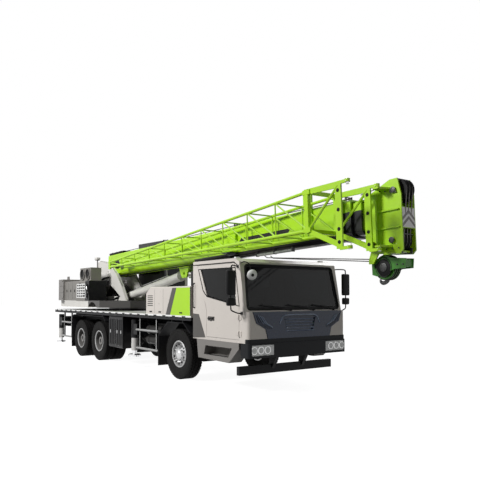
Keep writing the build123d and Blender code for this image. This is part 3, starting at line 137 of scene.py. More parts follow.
def ringProfile(shape, profile, centre, axis, steps):
    # turns a closed outline of (radius, along) points round the axis
    centre, axis = Vector(centre), Vector(axis).normalized()
    side = axis.orthogonal().normalized()
    verts = [shape.verts.new(centre + side * radius + axis * along) for radius, along in profile]
    edges = [shape.edges.new((a, b)) for a, b in zip(verts, verts[1:] + verts[:1])]
    bmesh.ops.spin(shape, geom=verts + edges, cent=centre, axis=axis, angle=math.tau, steps=steps,
                   use_merge=True)


def spoke(angle, reach):
    # from an axle towards a wheel's rim
    return Vector((math.cos(angle), 0, math.sin(angle))) * reach


def stud(shape, spot, side, rise, radius, sides=6, bevel=0.0):
    # a bolt head or cap that stands out on one side
    rod(shape, spot, spot + Vector((0, side * rise, 0)), radius, sides, bevel=bevel)


def boltRing(shape, centre, reach, count, side, rise, radius, sides=6, sink=0.0, shift=0.0):
    # bolt heads in a circle about an axle, standing out on one side
    for i in range(count):
        spot = centre + spoke(math.tau * (i + shift) / count, reach)
        rod(shape, spot - Vector((0, side * sink, 0)), spot + Vector((0, side * rise, 0)), radius, sides)


def piece(name, shape, body, material, slot=None, smooth=None):
    # turns a shape into a named piece that rides on a body
    bmesh.ops.remove_doubles(shape, verts=shape.verts, dist=1e-5)
    bmesh.ops.recalc_face_normals(shape, faces=shape.faces)
    mesh = bpy.data.meshes.new(name)
    shape.to_mesh(mesh)
    shape.free()
    made = bpy.data.objects.new(name, mesh)
    bpy.context.scene.collection.objects.link(made)
    mesh.materials.append(material)
    if smooth is not None:
        mesh.shade_smooth()
        mesh.set_sharp_from_angle(angle=math.radians(smooth))
    slot = slot or slotOf[material.name]
    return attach(made, body)


def rope(name, points, radius, body, material, slot=None, sides=3, closed=False, swell=None):
    # a round rope, hose, bead or pipe along points, as a mesh
    curve = bpy.data.curves.new(name + "Line", "CURVE")
    curve.dimensions = "3D"
    spline = curve.splines.new("POLY")
    spline.points.add(len(points) - 1)
    for i, (point, place) in enumerate(zip(spline.points, points)):
        point.co = (*place, 1)
        point.radius = swell[i] if swell else 1
    spline.use_cyclic_u = closed
    curve.bevel_depth = radius
    curve.bevel_resolution = sides
    curve.use_fill_caps = True
    line = bpy.data.objects.new(name + "Line", curve)
    mesh = bpy.data.meshes.new_from_object(line)
    bpy.data.objects.remove(line)
    mesh.name = name
    mesh.shade_smooth()
    mesh.set_sharp_from_angle(angle=math.radians(50))
    mesh.materials.clear()
    mesh.materials.append(material)
    made = bpy.data.objects.new(name, mesh)
    bpy.context.scene.collection.objects.link(made)
    slot = slot or slotOf[material.name]
    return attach(made, body)


def smoothPath(points, steps=6):
    # a soft line through given points
    places = [Vector(p) for p in points]
    places = [places[0] * 2 - places[1]] + places + [places[-1] * 2 - places[-2]]
    line = []
    for a, b, c, d in zip(places, places[1:], places[2:], places[3:]):
        for i in range(steps):
            t = i / steps
            line.append(0.5 * ((2 * b) + (c - a) * t + (2 * a - 5 * b + 4 * c - d) * t * t
                               + (3 * b - a - 3 * c + d) * t ** 3))
    return line + [places[-2]]


# materials
def newMaterial(name):
    material = bpy.data.materials.new(name)
    material.use_nodes = True
    tree = material.node_tree
    tree.nodes.clear()
    output = tree.nodes.new("ShaderNodeOutputMaterial")
    shader = tree.nodes.new("ShaderNodeBsdfPrincipled")
    tree.links.new(shader.outputs["BSDF"], output.inputs["Surface"])
    return material, tree, shader


def noise(tree, scale, detail=3.0, stretch=None):
    coords = tree.nodes.new("ShaderNodeTexCoord")
    texture = tree.nodes.new("ShaderNodeTexNoise")
    texture.inputs["Scale"].default_value = scale
    texture.inputs["Detail"].default_value = detail
    if stretch:
        mapping = tree.nodes.new("ShaderNodeMapping")
        mapping.inputs["Scale"].default_value = stretch
        tree.links.new(coords.outputs["Object"], mapping.inputs["Vector"])
        tree.links.new(mapping.outputs["Vector"], texture.inputs["Vector"])
    else:
        tree.links.new(coords.outputs["Object"], texture.inputs["Vector"])
    return texture.outputs["Fac"]


def spread(tree, value, low, high, fromLow=0.3, fromHigh=0.7):
    # maps a noise value onto a range
    step = tree.nodes.new("ShaderNodeMapRange")
    step.inputs["From Min"].default_value = fromLow
    step.inputs["From Max"].default_value = fromHigh
    step.inputs["To Min"].default_value = low
    step.inputs["To Max"].default_value = high
    tree.links.new(value, step.inputs["Value"])
    return step.outputs["Result"]


def blendColours(tree, amount, first, second):
    mix = tree.nodes.new("ShaderNodeMix")
    mix.data_type = "RGBA"
    tree.links.new(amount, mix.inputs["Factor"])
    for socket, colour in ((mix.inputs["A"], first), (mix.inputs["B"], second)):
        if isinstance(colour, tuple):
            socket.default_value = (*colour, 1)
        else:
            tree.links.new(colour, socket)
    return mix.outputs["Result"]


def bump(tree, shader, height, strength, distance=0.002):
    bumpNode = tree.nodes.new("ShaderNodeBump")
    bumpNode.inputs["Strength"].default_value = strength
    bumpNode.inputs["Distance"].default_value = distance
    tree.links.new(height, bumpNode.inputs["Height"])
    tree.links.new(bumpNode.outputs["Normal"], shader.inputs["Normal"])


def shade(colour, factor):
    return tuple(channel * factor for channel in colour)


def objectAxis(tree, axis):
    coords = tree.nodes.new("ShaderNodeTexCoord")
    split = tree.nodes.new("ShaderNodeSeparateXYZ")
    tree.links.new(coords.outputs["Object"], split.inputs["Vector"])
    return split.outputs[axis]


def combine(tree, operation, first, second):
    made = tree.nodes.new("ShaderNodeMath")
    made.operation = operation
    for socket, value in zip(made.inputs, (first, second)):
        if isinstance(value, (int, float)):
            socket.default_value = value
        else:
            tree.links.new(value, socket)
    return made.outputs[0]


def within(tree, tests):
    # 1 where the place passes every (axis, limit, above) test; besides X, Y and Z an axis may be
    # "out", the distance from the crane's middle, "lockers", that from the lockers' middle,
    # or "over", the height above the boom's axis
    total = 1.0
    for axis, limit, above in tests:
        if axis == "out":
            value = combine(tree, "ABSOLUTE", objectAxis(tree, "Y"), 0)
        elif axis == "lockers":
            value = combine(tree, "SUBTRACT", objectAxis(tree, "X"), frontAxle - 3.18)
            value = combine(tree, "ABSOLUTE", value, 0)
        elif axis == "over":
            value = combine(tree, "ADD", combine(tree, "MULTIPLY", objectAxis(tree, "X"), boomUp.x),
                            combine(tree, "MULTIPLY", objectAxis(tree, "Z"), boomUp.z))
            value = combine(tree, "SUBTRACT", value, boomUp.dot(boomPivot))
        else:
            value = objectAxis(tree, axis)
        test = combine(tree, "GREATER_THAN" if above else "LESS_THAN", value, limit)
        total = combine(tree, "MULTIPLY", total, test)
    return total


roadDust = (0.10, 0.09, 0.075)


def paint(name, colour, rough=0.32, coat=0.25, metallic=0.0, grime=0.3, second=None, tests=(), shine=0.35):
    # sprayed paint: slow changes of tone and road dust low down; a second colour where the tests hold, which is
    # a second paint on some finishes and painted shade on others
    material, tree, shader = newMaterial(name)
    slow = spread(tree, noise(tree, 0.8, 4), 0, 1)
    tone = blendColours(tree, slow, shade(colour, 0.95), shade(colour, 1.04))
    if second:
        other = blendColours(tree, slow, shade(second, 0.95), shade(second, 1.05))
        tone = blendColours(tree, within(tree, tests), tone, other)
    low = spread(tree, objectAxis(tree, "Z"), 1, 0, 0.2, 1.0)
    dust = combine(tree, "MULTIPLY", low, spread(tree, noise(tree, 4, 6), 0, grime, 0.35, 0.75))
    tree.links.new(blendColours(tree, dust, tone, roadDust), shader.inputs["Base Color"])
    tree.links.new(spread(tree, noise(tree, 9, 3), rough - 0.03, rough + 0.06), shader.inputs["Roughness"])
    bump(tree, shader, noise(tree, 55, 2), 0.03, 0.0004)
    shader.inputs["Metallic"].default_value = metallic
    shader.inputs["Specular IOR Level"].default_value = shine
    shader.inputs["Coat Weight"].default_value = coat
    shader.inputs["Coat Roughness"].default_value = 0.08
    return material


def metal(name, colour, rough=0.3, grain=(1, 1, 1), streak=60, strength=0.12):
    # bare metal with a drawn grain
    material, tree, shader = newMaterial(name)
    lines = noise(tree, streak, 5, grain)
    tree.links.new(blendColours(tree, lines, shade(colour, 0.85), shade(colour, 1.08)),
                   shader.inputs["Base Color"])
    tree.links.new(spread(tree, lines, rough - 0.07, rough + 0.12), shader.inputs["Roughness"])
    bump(tree, shader, lines, strength, 0.0005)
    shader.inputs["Metallic"].default_value = 1.0
    return material


def plastic(name, colour, rough=0.5, grain=140, strength=0.15):
    material, tree, shader = newMaterial(name)
    slow = noise(tree, 3, 4)
    tree.links.new(blendColours(tree, slow, shade(colour, 0.8), shade(colour, 1.25)),
                   shader.inputs["Base Color"])
    tree.links.new(spread(tree, noise(tree, 20, 3), rough - 0.06, rough + 0.08), shader.inputs["Roughness"])
    bump(tree, shader, noise(tree, grain, 2), strength, 0.0005)
    shader.inputs["Specular IOR Level"].default_value = 0.10
    return material


def glass(name, colour, rough=0.02):
    # tinted pane: mostly see-through, with a trace of dust that dulls its shine
    material, tree, shader = newMaterial(name)
    shader.inputs["Base Color"].default_value = (*colour, 1)
    tree.links.new(spread(tree, noise(tree, 3, 4), rough, rough + 0.05), shader.inputs["Roughness"])
    shader.inputs["Transmission Weight"].default_value = 1.0
    shader.inputs["IOR"].default_value = 1.3
    return material


def lamp(name, colour):
    # moulded lens with small cells
    material, tree, shader = newMaterial(name)
    cells = tree.nodes.new("ShaderNodeTexVoronoi")
    cells.inputs["Scale"].default_value = 45
    coords = tree.nodes.new("ShaderNodeTexCoord")
    tree.links.new(coords.outputs["Object"], cells.inputs["Vector"])
    tree.links.new(blendColours(tree, cells.outputs["Distance"], shade(colour, 1.1), shade(colour, 0.6)),
                   shader.inputs["Base Color"])
    bump(tree, shader, cells.outputs["Distance"], 0.4, 0.001)
    shader.inputs["Roughness"].default_value = 0.14
    shader.inputs["Coat Weight"].default_value = 0.6
    return material


lime, beige, pale = (0.34, 0.60, 0.005), (0.53, 0.49, 0.45), (0.60, 0.585, 0.55)
dark, black = (0.022, 0.021, 0.020), (0.007, 0.007, 0.008)
limePaint = paint("limePaint", lime, rough=0.34, coat=0.15, grime=0)
# lime, with black below the boom's axis on its front part: painted shade of the boom's underside
boomPaintShadedUnderside = paint("boomPaintShadedUnderside", lime, rough=0.34, coat=0.15, grime=0, second=black,
                  tests=[("over", 0.0, False), ("X", frontAxle - 0.9, True)])
# lime, with black on the lower part of the inner sections: painted shade in the dark mouth between the jib
# fork's posts
sectionPaintShadedBelow = paint("sectionPaintShadedBelow", lime, rough=0.34, coat=0.15, grime=0, second=black,
                     tests=[("over", 0.36, False)])
hookPaint = paint("hookPaint", (0.030, 0.17, 0.008), rough=0.38, coat=0.1, grime=0)
beigePaint = paint("beigePaint", beige, rough=0.3, coat=0.3, grime=0.2)
palePaint = paint("palePaint", pale, rough=0.36, coat=0.15, grime=0)
weightPaint = paint("weightPaint", pale, rough=0.4, coat=0.1, grime=0, second=(0.17, 0.16, 0.15),
                    tests=[("X", frontAxle - 7.86, True)])
cabinPaint = paint("cabinPaint", pale, rough=0.38, coat=0.1, grime=0, second=black, tests=[("Y", 0.50, False)])
turnPaint = paint("turnPaint", pale, rough=0.38, coat=0.15, grime=0, second=(0.045, 0.042, 0.04),
                  tests=[("X", frontAxle - 5.3, True), ("Z", 1.662, False)])
coverPaint = paint("coverPaint", (0.20, 0.19, 0.175), rough=0.38, coat=0.1, grime=0, second=black,
                   tests=[("X", frontAxle - 5.50, True), ("Y", 0, False), ("Z", 2.255, False)], shine=0.12)
lockerPaint = paint("lockerPaint", black, rough=0.35, coat=0.1, grime=0.2, second=(0.30, 0.30, 0.295),
                    tests=[("out", 1.192, True), ("lockers", 0.47, True)], shine=0.12)
beamPaint = paint("beamPaint", black, rough=0.4, coat=0, grime=0.2, second=(0.55, 0.54, 0.52),
                  tests=[("out", 1.0, True), ("Z", 0.74, False)], shine=0.15)
stepPaint = paint("stepPaint", black, rough=0.5, coat=0, grime=0.2, second=(0.20, 0.19, 0.18),
                  tests=[("X", frontAxle + 0.74, True)], shine=0.15)
greyPaint = paint("greyPaint", (0.15, 0.145, 0.14), rough=0.42, coat=0.1)
panelPaint = paint("panelPaint", (0.075, 0.07, 0.065), rough=0.42, coat=0.1, shine=0.2)
darkPaint = paint("darkPaint", dark, rough=0.42, coat=0, shine=0.12)
blackPaint = paint("blackPaint", black, rough=0.5, coat=0, grime=0.2, shine=0.07)
bumperPaint = paint("bumperPaint", (0.009, 0.010, 0.012), rough=0.34, coat=0.0, grime=0.1, shine=0.10)
navyPaint = paint("navyPaint", (0.010, 0.020, 0.048), rough=0.26, coat=0.2, grime=0, shine=0.25)
# lighter navy for the fascia's slats and lines: painted highlight along the grooves' edges
navyPaintedHighlight = paint("navyPaintedHighlight", (0.10, 0.14, 0.22), rough=0.3, coat=0.2, grime=0)
silverPaint = paint("silverPaint", (0.42, 0.42, 0.42), rough=0.3, coat=0.1, metallic=0.7, grime=0.4)
whitePaint = paint("whitePaint", (0.74, 0.74, 0.73), rough=0.35, coat=0.2, grime=0)
deckPaint = paint("deckPaint", (0.40, 0.40, 0.39), rough=0.45, coat=0, grime=0, second=black,
                  tests=[("Z", 1.336, False)], shine=0.2)
deckMetal = metal("deckMetal", (0.55, 0.55, 0.53), rough=0.42, grain=(0.4, 8, 8), streak=12)
brightSteel = metal("brightSteel", (0.62, 0.62, 0.62), rough=0.27, grain=(10, 1, 1))
darkSteel = metal("darkSteel", (0.055, 0.055, 0.055), rough=0.42, streak=25)
rodChrome = metal("rodChrome", (0.78, 0.78, 0.79), rough=0.14, streak=40, strength=0.03)
ropeSteel = metal("ropeSteel", (0.09, 0.085, 0.08), rough=0.5, grain=(40, 4, 4), streak=30, strength=0.5)
mirrorGlass = metal("mirrorGlass", (0.85, 0.86, 0.87), rough=0.08, streak=5, strength=0)
blackPlastic = plastic("blackPlastic", (0.008, 0.008, 0.0085), rough=0.5)
paleHose = plastic("paleHose", (0.35, 0.36, 0.34), rough=0.55)
tyreRubber = plastic("tyreRubber", (0.009, 0.0087, 0.0084), rough=0.75, grain=90, strength=0.2)
softRubber = plastic("softRubber", (0.006, 0.006, 0.006), rough=0.6)
seatCloth = plastic("seatCloth", (0.03, 0.031, 0.036), rough=0.9, grain=260, strength=0.6)
darkGlass = glass("darkGlass", (0.030, 0.036, 0.038))
lampClear = lamp("lampClear", (0.72, 0.73, 0.73))
lampRed = lamp("lampRed", (0.50, 0.02, 0.015))
# the slot that each finish belongs to, unless a piece names another
slots = {
    "beige_paint": [beigePaint],
    "lime_paint": [limePaint],
    "light_grey_paint": [whitePaint, palePaint, paleHose],
    "dark_grey_paint": [panelPaint, darkPaint, greyPaint],
    "navy_plastic": [navyPaintedHighlight],
    "deck_aluminium": [deckMetal],
    "wheel_silver": [silverPaint],
    "bare_steel": [brightSteel, darkSteel, ropeSteel],
    "black_plastic": [blackPlastic, softRubber],
    "tyre_rubber": [tyreRubber],
    "seat_fabric": [seatCloth],
    "window_glass": [mirrorGlass],
    "lamp_lens": [lampClear, lampRed],
}
slotOf = {material.name: slot for slot, members in slots.items() for material in members}
print("materials ready")


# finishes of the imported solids
finish = [
    (limePaint, ["boom_head", "jib"]),
    (sectionPaintShadedBelow, ["boom_section_2", "boom_section_3"]),
    (boomPaintShadedUnderside, ["boom_base"]),
    (hookPaint, ["hook_block"]),
    (beigePaint, ["side_covers", "cab_shell", "cab_door_right", "cab_door_left"]),
    (palePaint, ["operator_door", "luff_barrel"]),
    (weightPaint, ["counterweight"]),
    (cabinPaint, ["operator_cab"]),
    (turnPaint, ["turntable"]),
    (coverPaint, ["machinery_covers"]),
    (lockerPaint, ["lockers_and_guards"]),
    (beamPaint, ["outrigger_front_right", "outrigger_front_left", "outrigger_rear_right",
                 "outrigger_rear_left"]),
    (stepPaint, ["mudguards"]),
    (greyPaint, ["rim_mid_right", "rim_mid_left", "rim_rear_right", "rim_rear_left"]),
    (darkPaint, ["boom_rest", "engine", "winches"]),
    (blackPaint, ["carrier_frame", "tow_clevis", "axles", "knuckle_right", "knuckle_left"]),
    (bumperPaint, ["front_bumper"]),
    (navyPaint, ["cab_fascia"]),
    (silverPaint, ["rim_front_right", "rim_front_left"]),
    (deckPaint, ["deck"]),
    (rodChrome, ["luff_rod", "jack_front_right", "jack_front_left", "jack_rear_right", "jack_rear_left"]),
    (blackPlastic, ["mirrors", "head_sheaves"]),
    (tyreRubber, [name for name in nodes if name.startswith("tyre_")]),
    (seatCloth, ["cab_interior", "operator_seat"]),
    (darkGlass, ["cab_glass", "operator_glass", "door_glass_right", "door_glass_left", "operator_door_glass"]),
    (lampClear, ["lamps"]),
]
for material, members in finish:
    for name in members:
        mesh = nodes[name].data
        mesh.materials.clear()
        mesh.materials.append(material)
print("solids finished")


# pieces that stand on either side
skin = 1.2495                                            # y of the body's side panels


def proud(rise):
    # a thin layer on the side panels
    return skin, skin + rise


def sideBox(shape, side, x, y, z, bevel=0.0, segments=1):
    # a box on one side of the crane, its y counted outwards
    y = sorted((side * y[0], side * y[1]))
    return box(shape, at(x[0], y[0], z[0]), at(x[1], y[1], z[1]), bevel, segments)


def sidePlate(shape, side, points, y, bevel=0.0):
    y = sorted((side * y[0], side * y[1]))
    return plate(shape, [(frontAxle + x, z) for x, z in points], y[0], y[1], "y", bevel)


# wheels
wheel = {"half": 0.145, "bead": 0.281, "tread": 0.527, "blocks": 50, "fill": 0.72, "near": 1.075,
         "inner": 0.745, "studs": 10, "lip": {"front": 1.192, "mid": 1.199, "rear": 1.199}}
frontHub = {"faceY": 1.205, "ring": 0.142, "radius": 0.098, "length": 0.035}
rearHub = {"faceY": 0.975, "ring": 0.135, "radius": 0.092, "length": 0.18}
# rows of tread blocks: inner and outer edge, shift along the tread, skew, lean
tyreRows = [(0.002, 0.030, 0.0, 0.10, 0.0), (0.054, 0.098, 0.5, 0.14, 0.0), (0.101, 0.134, 0.0, -0.08, -0.35)]


def tyreShape(shape, centre):
    # carcass turned round the axle, then three rows of tread blocks on each half
    half, tread = wheel["half"], wheel["tread"]
    side = [(wheel["bead"], 0.112), (0.301, 0.124), (0.341, 0.139), (0.395, half), (0.452, half),
            (0.475, 0.1425), (0.479, 0.1385), (0.484, 0.1385), (0.488, 0.143), (0.505, half - 0.004),
            (0.519, 0.137), (tread, 0.124),
            (tread, 0.052), (tread - 0.006, 0.047), (tread - 0.006, 0.037), (tread, 0.032)]
    ringProfile(shape, side + [(r, -y) for r, y in reversed(side)], centre, across, 64)
    step = math.tau / wheel["blocks"]
    for inner, outer, shift, skew, lean in tyreRows:
        height = tread + 0.0045 + lean * 0.012
        for sign in (-1, 1):
            for i in range(wheel["blocks"]):
                place = Matrix.Translation(centre) @ turned((i + shift) * step, across)
                place = place @ Matrix.Translation((0, sign * (inner + outer) / 2, height))
                place = place @ turned(sign * skew, upward) @ turned(-sign * lean, forward)
                size = Matrix.Diagonal((step * tread * wheel["fill"], outer - inner, 0.017, 1))
                bmesh.ops.create_cube(shape, size=1, matrix=place @ size)


def hubShape(shape, centre, side, faceY, ring, radius, length):
    # hub cap and its ring of studs
    hub = Vector((centre.x, side * faceY, centre.z))
    profile = [(0.002, length), (radius * 0.55, length), (radius * 0.8, length - 0.012),
               (radius * 0.86, length * 0.4), (radius, length * 0.3), (radius, -0.01), (0.002, -0.01)]
    ringProfile(shape, profile, hub, (0, side, 0), 32)
    boltRing(shape, hub, ring, wheel["studs"], side, 0.016, 0.0165, sink=0.008)
    boltRing(shape, hub, ring, wheel["studs"], side, 0.03, 0.0095, sides=10)


for side, hand in hands:
    for axle in ("front", "mid", "rear"):
        axlePlace = joints[f"wheel_{axle}_{hand}_spin"]["pos_m"]
        centre = Vector((axlePlace[0], 0, axlePlace[2]))
        body = f"wheel_{axle}_{hand}"
        shape = bmesh.new()
        for y in [wheel["near"]] if axle == "front" else [wheel["near"], wheel["inner"]]:
            tyreShape(shape, centre + Vector((0, side * y, 0)))
        tyre = piece(f"tyreTread_{axle}_{hand}", shape, body, tyreRubber, smooth=32)
        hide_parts(f"tyre_{axle}_{hand}")
        shape = bmesh.new()
        if axle == "front":
            hubShape(shape, centre, side, **frontHub)
            piece(f"hub_{axle}_{hand}", shape, body, brightSteel, slot="wheel_silver", smooth=35)
            # dark discs on the front rim's holes and a dark ring round the hub: painted shade of the rim's
            # recesses
            shape = bmesh.new()
            dish = Vector((centre.x, side * 1.196, centre.z))
            boltRing(shape, dish, 0.205, wheel["studs"], side, 0.004, 0.026, sides=20, shift=0.5)
            ringProfile(shape, [(0.100, 0.001), (0.118, 0.001), (0.118, 0.004), (0.100, 0.004)],
                        Vector((centre.x, side * 1.199, centre.z)), (0, side, 0), 36)
            piece(f"rimHoleShade_{hand}", shape, body, softRubber)
        else:
            hubShape(shape, centre, side, **rearHub)
            piece(f"hub_{axle}_{hand}", shape, body, darkSteel, slot="dark_grey_paint", smooth=35)
        shape = bmesh.new()
        lip = Vector((centre.x, side * wheel["lip"][axle], centre.z))
        ringProfile(shape, [(0.256, -0.004), (0.268, 0.004), (0.283, 0.002), (0.289, 0.010), (0.277, 0.016),
                            (0.262, 0.012)],
                    lip, (0, side, 0), 48)
        piece(f"rimLip_{axle}_{hand}", shape, body, silverPaint, smooth=40)
print("wheels dressed")


# driver's cab
def screenX(z):
    # the slanting face of the windscreen
    return 2.38 - (z - 1.5) * 0.17 / 0.92


def roundedLoop(foot, top, z0, z1, corner, steps=5):
    # outline of the windscreen as (y, z), corners rounded
    corners = [Vector(p) for p in ((-foot, z0), (-top, z1), (top, z1), (foot, z0))]
    loop = []
    for i, here in enumerate(corners):
        start = here + (corners[i - 1] - here).normalized() * corner
        end = here + (corners[(i + 1) % 4] - here).normalized() * corner
        for k in range(steps + 1):
            t = k / steps
            loop.append(start * (1 - t) ** 2 + here * 2 * t * (1 - t) + end * t * t)
    return loop


windscreen = {"foot": 1.192, "top": 1.137, "z0": 1.533, "z1": 2.372, "corner": 0.075}
border = {"width": 0.05, "behind": 0.017, "thick": 0.002}
screen = [at(screenX(p.y) + 0.003, p.x, p.y) for p in roundedLoop(**windscreen)]
rope("windscreenSeal", screen, 0.014, "carrier", softRubber, closed=True)
shape = bmesh.new()
pane = shape.faces.new([shape.verts.new(p - Vector((border["behind"], 0, 0))) for p in screen])
pane.normal_update()
bmesh.ops.inset_individual(shape, faces=[pane], thickness=border["width"], use_even_offset=True)
bmesh.ops.delete(shape, geom=[pane], context="FACES_ONLY")
bmesh.ops.solidify(shape, geom=shape.faces[:], thickness=border["thick"])
piece("windscreenBorder", shape, "carrier", blackPlastic)

# doors, mirrors and head lamps; each mirror shell has its low and high edge and half its width
mirror = {"y": 1.5, "shells": ((1.80, 2.25, 0.098), (1.61, 1.75, 0.088)), "edge": 0.025}
headLamp = {"places": (1.13, 0.975, 0.82), "x": 2.500, "height": 0.80}
for side, hand in hands:
    body = f"cab_door_{hand}"
    frameLine = [(1.15, 1.78), (1.02, 1.89), (0.845, 2.325), (2.09, 2.315), (2.21, 1.60)]
    rope(f"doorSeal_{hand}", [at(x, side * 1.2485, z) for x, z in frameLine], 0.012, body, softRubber,
         closed=True)
    shape = bmesh.new()
    sidePlate(shape, side, [(0.925, 2.13), (0.98, 1.695), (2.15, 1.56), (2.15, 1.61), (1.15, 1.78),
                            (1.02, 1.89)], (1.2455, 1.2492))
    piece(f"doorCorner_{hand}", shape, body, beigePaint)
    shape = bmesh.new()
    sidePlate(shape, side, [(0.845, 2.325), (0.905, 2.325), (0.935, 2.10)], (1.2455, 1.2490))
    sidePlate(shape, side, [(1.985, 2.32), (2.09, 2.315), (2.21, 1.60), (2.13, 1.60)], (1.2455, 1.2490))
    piece(f"doorBorder_{hand}", shape, body, blackPlastic)
    shape = bmesh.new()
    sideBox(shape, side, (1.19, 1.41), proud(0.0017), (1.305, 1.385))
    sideBox(shape, side, (1.196, 1.404), (1.262, 1.2725), (1.329, 1.366), bevel=0.004, segments=2)
    stud(shape, at(1.30, side * 1.25, 1.30), side, 0.007, 0.011, 14)
    piece(f"doorHandle_{hand}", shape, body, blackPlastic, smooth=40)
    # grey corner panel behind the door, gutter over it, treads in the step box
    shape = bmesh.new()
    sidePlate(shape, side, [(0.643, 0.935), (1.10, 0.965), (0.86, 1.42), (0.643, 1.43)], proud(0.003))
    piece(f"cornerPanel_{hand}", shape, "carrier", panelPaint)
    shape = bmesh.new()
    sidePlate(shape, side, [(0.645, 2.412), (2.05, 2.412), (2.16, 2.345), (2.172, 2.352), (2.06, 2.426),
                            (0.645, 2.426)],
              (1.249, 1.259))
    piece(f"roofGutter_{hand}", shape, "carrier", softRubber)
    shape = bmesh.new()
    for z, reach in ((0.634, 0.76), (0.800, 0.84)):
        for i in range(9):
            sideBox(shape, side, (1.10 + i * reach / 9, 1.15 + i * reach / 9), (1.19, 1.245), (z, z + 0.008))
    piece(f"stepTreads_{hand}", shape, "carrier", darkSteel)
    grab = [(0.70, 1.25, 1.55), (0.70, 1.285, 1.575), (0.70, 1.29, 1.80), (0.70, 1.285, 2.025),
            (0.70, 1.25, 2.05)]
    rope(f"doorGrab_{hand}", smoothPath(path(grab, side)), 0.011, "carrier", blackPlastic)
    # mirrors: rounded shells with glass facing back, on bent arms
    shape = bmesh.new()
    for z0, z1, half in mirror["shells"]:
        sideBox(shape, side, (2.247, 2.323), (mirror["y"] - half, mirror["y"] + half), (z0, z1), bevel=0.026,
                segments=3)
    shell = piece(f"mirrorShell_{hand}", shape, "carrier", blackPlastic, smooth=35)
    if side < 0:
        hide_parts("mirrors")
    shape = bmesh.new()
    for z0, z1, half in mirror["shells"]:
        half, edge = half - 0.024, mirror["edge"]
        sideBox(shape, side, (2.2455, 2.2485), (mirror["y"] - half, mirror["y"] + half), (z0 + edge, z1 - edge))
    piece(f"mirrorGlass_{hand}", shape, "carrier", mirrorGlass)
    high = [(2.17, 1.256, 2.33), (2.19, 1.36, 2.345), (2.285, 1.47, 2.335), (2.285, 1.5, 2.28),
            (2.285, 1.5, 2.2)]
    low = [(2.285, 1.256, 1.47), (2.285, 1.34, 1.475), (2.285, 1.47, 1.52), (2.285, 1.5, 1.58),
           (2.285, 1.5, 1.85)]
    for end, line in (("High", high), ("Low", low)):
        rope(f"mirrorArm{end}_{hand}", smoothPath(path(line, side)), 0.012, "carrier", blackPlastic)
    shape = bmesh.new()
    for x, y, z in (high[0], low[0]):
        sideBox(shape, side, (x - 0.03, x + 0.03), (y - 0.006, y + 0.006), (z - 0.03, z + 0.03), bevel=0.004,
                segments=2)
    piece(f"mirrorFeet_{hand}", shape, "carrier", darkSteel, slot="black_plastic")
    # head lamps: ringed bowls on each lens
    rings, bowls = bmesh.new(), bmesh.new()
    for y in headLamp["places"]:
        centre = at(headLamp["x"], side * y, headLamp["height"])
        ringProfile(rings, [(0.058, 0.003), (0.068, 0.0045), (0.072, 0.0), (0.068, -0.006), (0.058, -0.002)],
                    centre, forward, 28)
        ringProfile(bowls, [(0.001, 0.003), (0.03, 0.002), (0.057, -0.002), (0.057, -0.006), (0.001, -0.006)],
                    centre, forward, 28)
    piece(f"headLampRings_{hand}", rings, "carrier", brightSteel, slot="rod_chrome", smooth=40)
    piece(f"headLampBowls_{hand}", bowls, "carrier", lampClear, smooth=40)

# wipers along the foot of the windscreen: y of each foot and tip
for i, (foot, tip) in enumerate(((-0.15, -0.85), (0.45, -0.20), (1.02, 0.42))):
    base, elbow = at(screenX(1.52) + 0.03, foot, 1.52), at(screenX(1.56) + 0.032, tip + 0.26, 1.585)
    x = screenX(1.575) + 0.017
    start, end = at(x, tip - 0.02, 1.625), at(x, tip + 0.52, 1.575)
    shape = bmesh.new()
    rod(shape, base - Vector((0.03, 0, 0)), base + Vector((0.012, 0, 0)), 0.018, 14)
    rod(shape, base, elbow, 0.008, 8)
    rod(shape, start, end, 0.007, 6)
    rod(shape, elbow, (start + end) / 2, 0.008, 8)
    piece(f"wiper_{i + 1}", shape, "carrier", blackPlastic, smooth=40)

# round close-view mirror at the windscreen's upper corner
closeMirror = {"place": (2.40, -1.10, 2.17), "facing": (0.94, -0.25, -0.2)}
shape = bmesh.new()
ringProfile(shape, [(0.001, 0.028), (0.05, 0.026), (0.085, 0.016), (0.1, -0.004), (0.094, -0.018),
                    (0.001, -0.02)],
            at(*closeMirror["place"]), closeMirror["facing"], 36)
piece("frontMirror", shape, "carrier", whitePaint, smooth=40)
shape = bmesh.new()
ringProfile(shape, [(0.001, 0.034), (0.026, 0.034), (0.032, 0.024), (0.001, 0.024)], at(*closeMirror["place"]),
            closeMirror["facing"], 24)
piece("frontMirrorKnob", shape, "carrier", blackPlastic, smooth=40)
line = [(2.20, -1.20, 2.39), (2.31, -1.21, 2.415), (2.395, -1.16, 2.36), (2.385, -1.11, 2.20)]
rope("frontMirrorArm", smoothPath(path(line)), 0.009, "carrier", blackPlastic)


# slats in the fascia's middle panel and nested lines on its shoulders, in a lighter navy: painted highlight
# along the edges of the fascia's grooves
fascia = {"slats": 5, "low": 1.13, "pitch": 0.055, "half": 0.36, "spans": 8, "lines": 3, "nest": 0.05}


def fasciaAt(y, z, lift):
    # a place just off the fascia's real face
    hit, place = nodes["cab_fascia"].ray_cast(at(3, y, z), (-1, 0, 0))[:2]
    return (place if hit else at(2.45, y, z)) + Vector((lift, 0, 0))


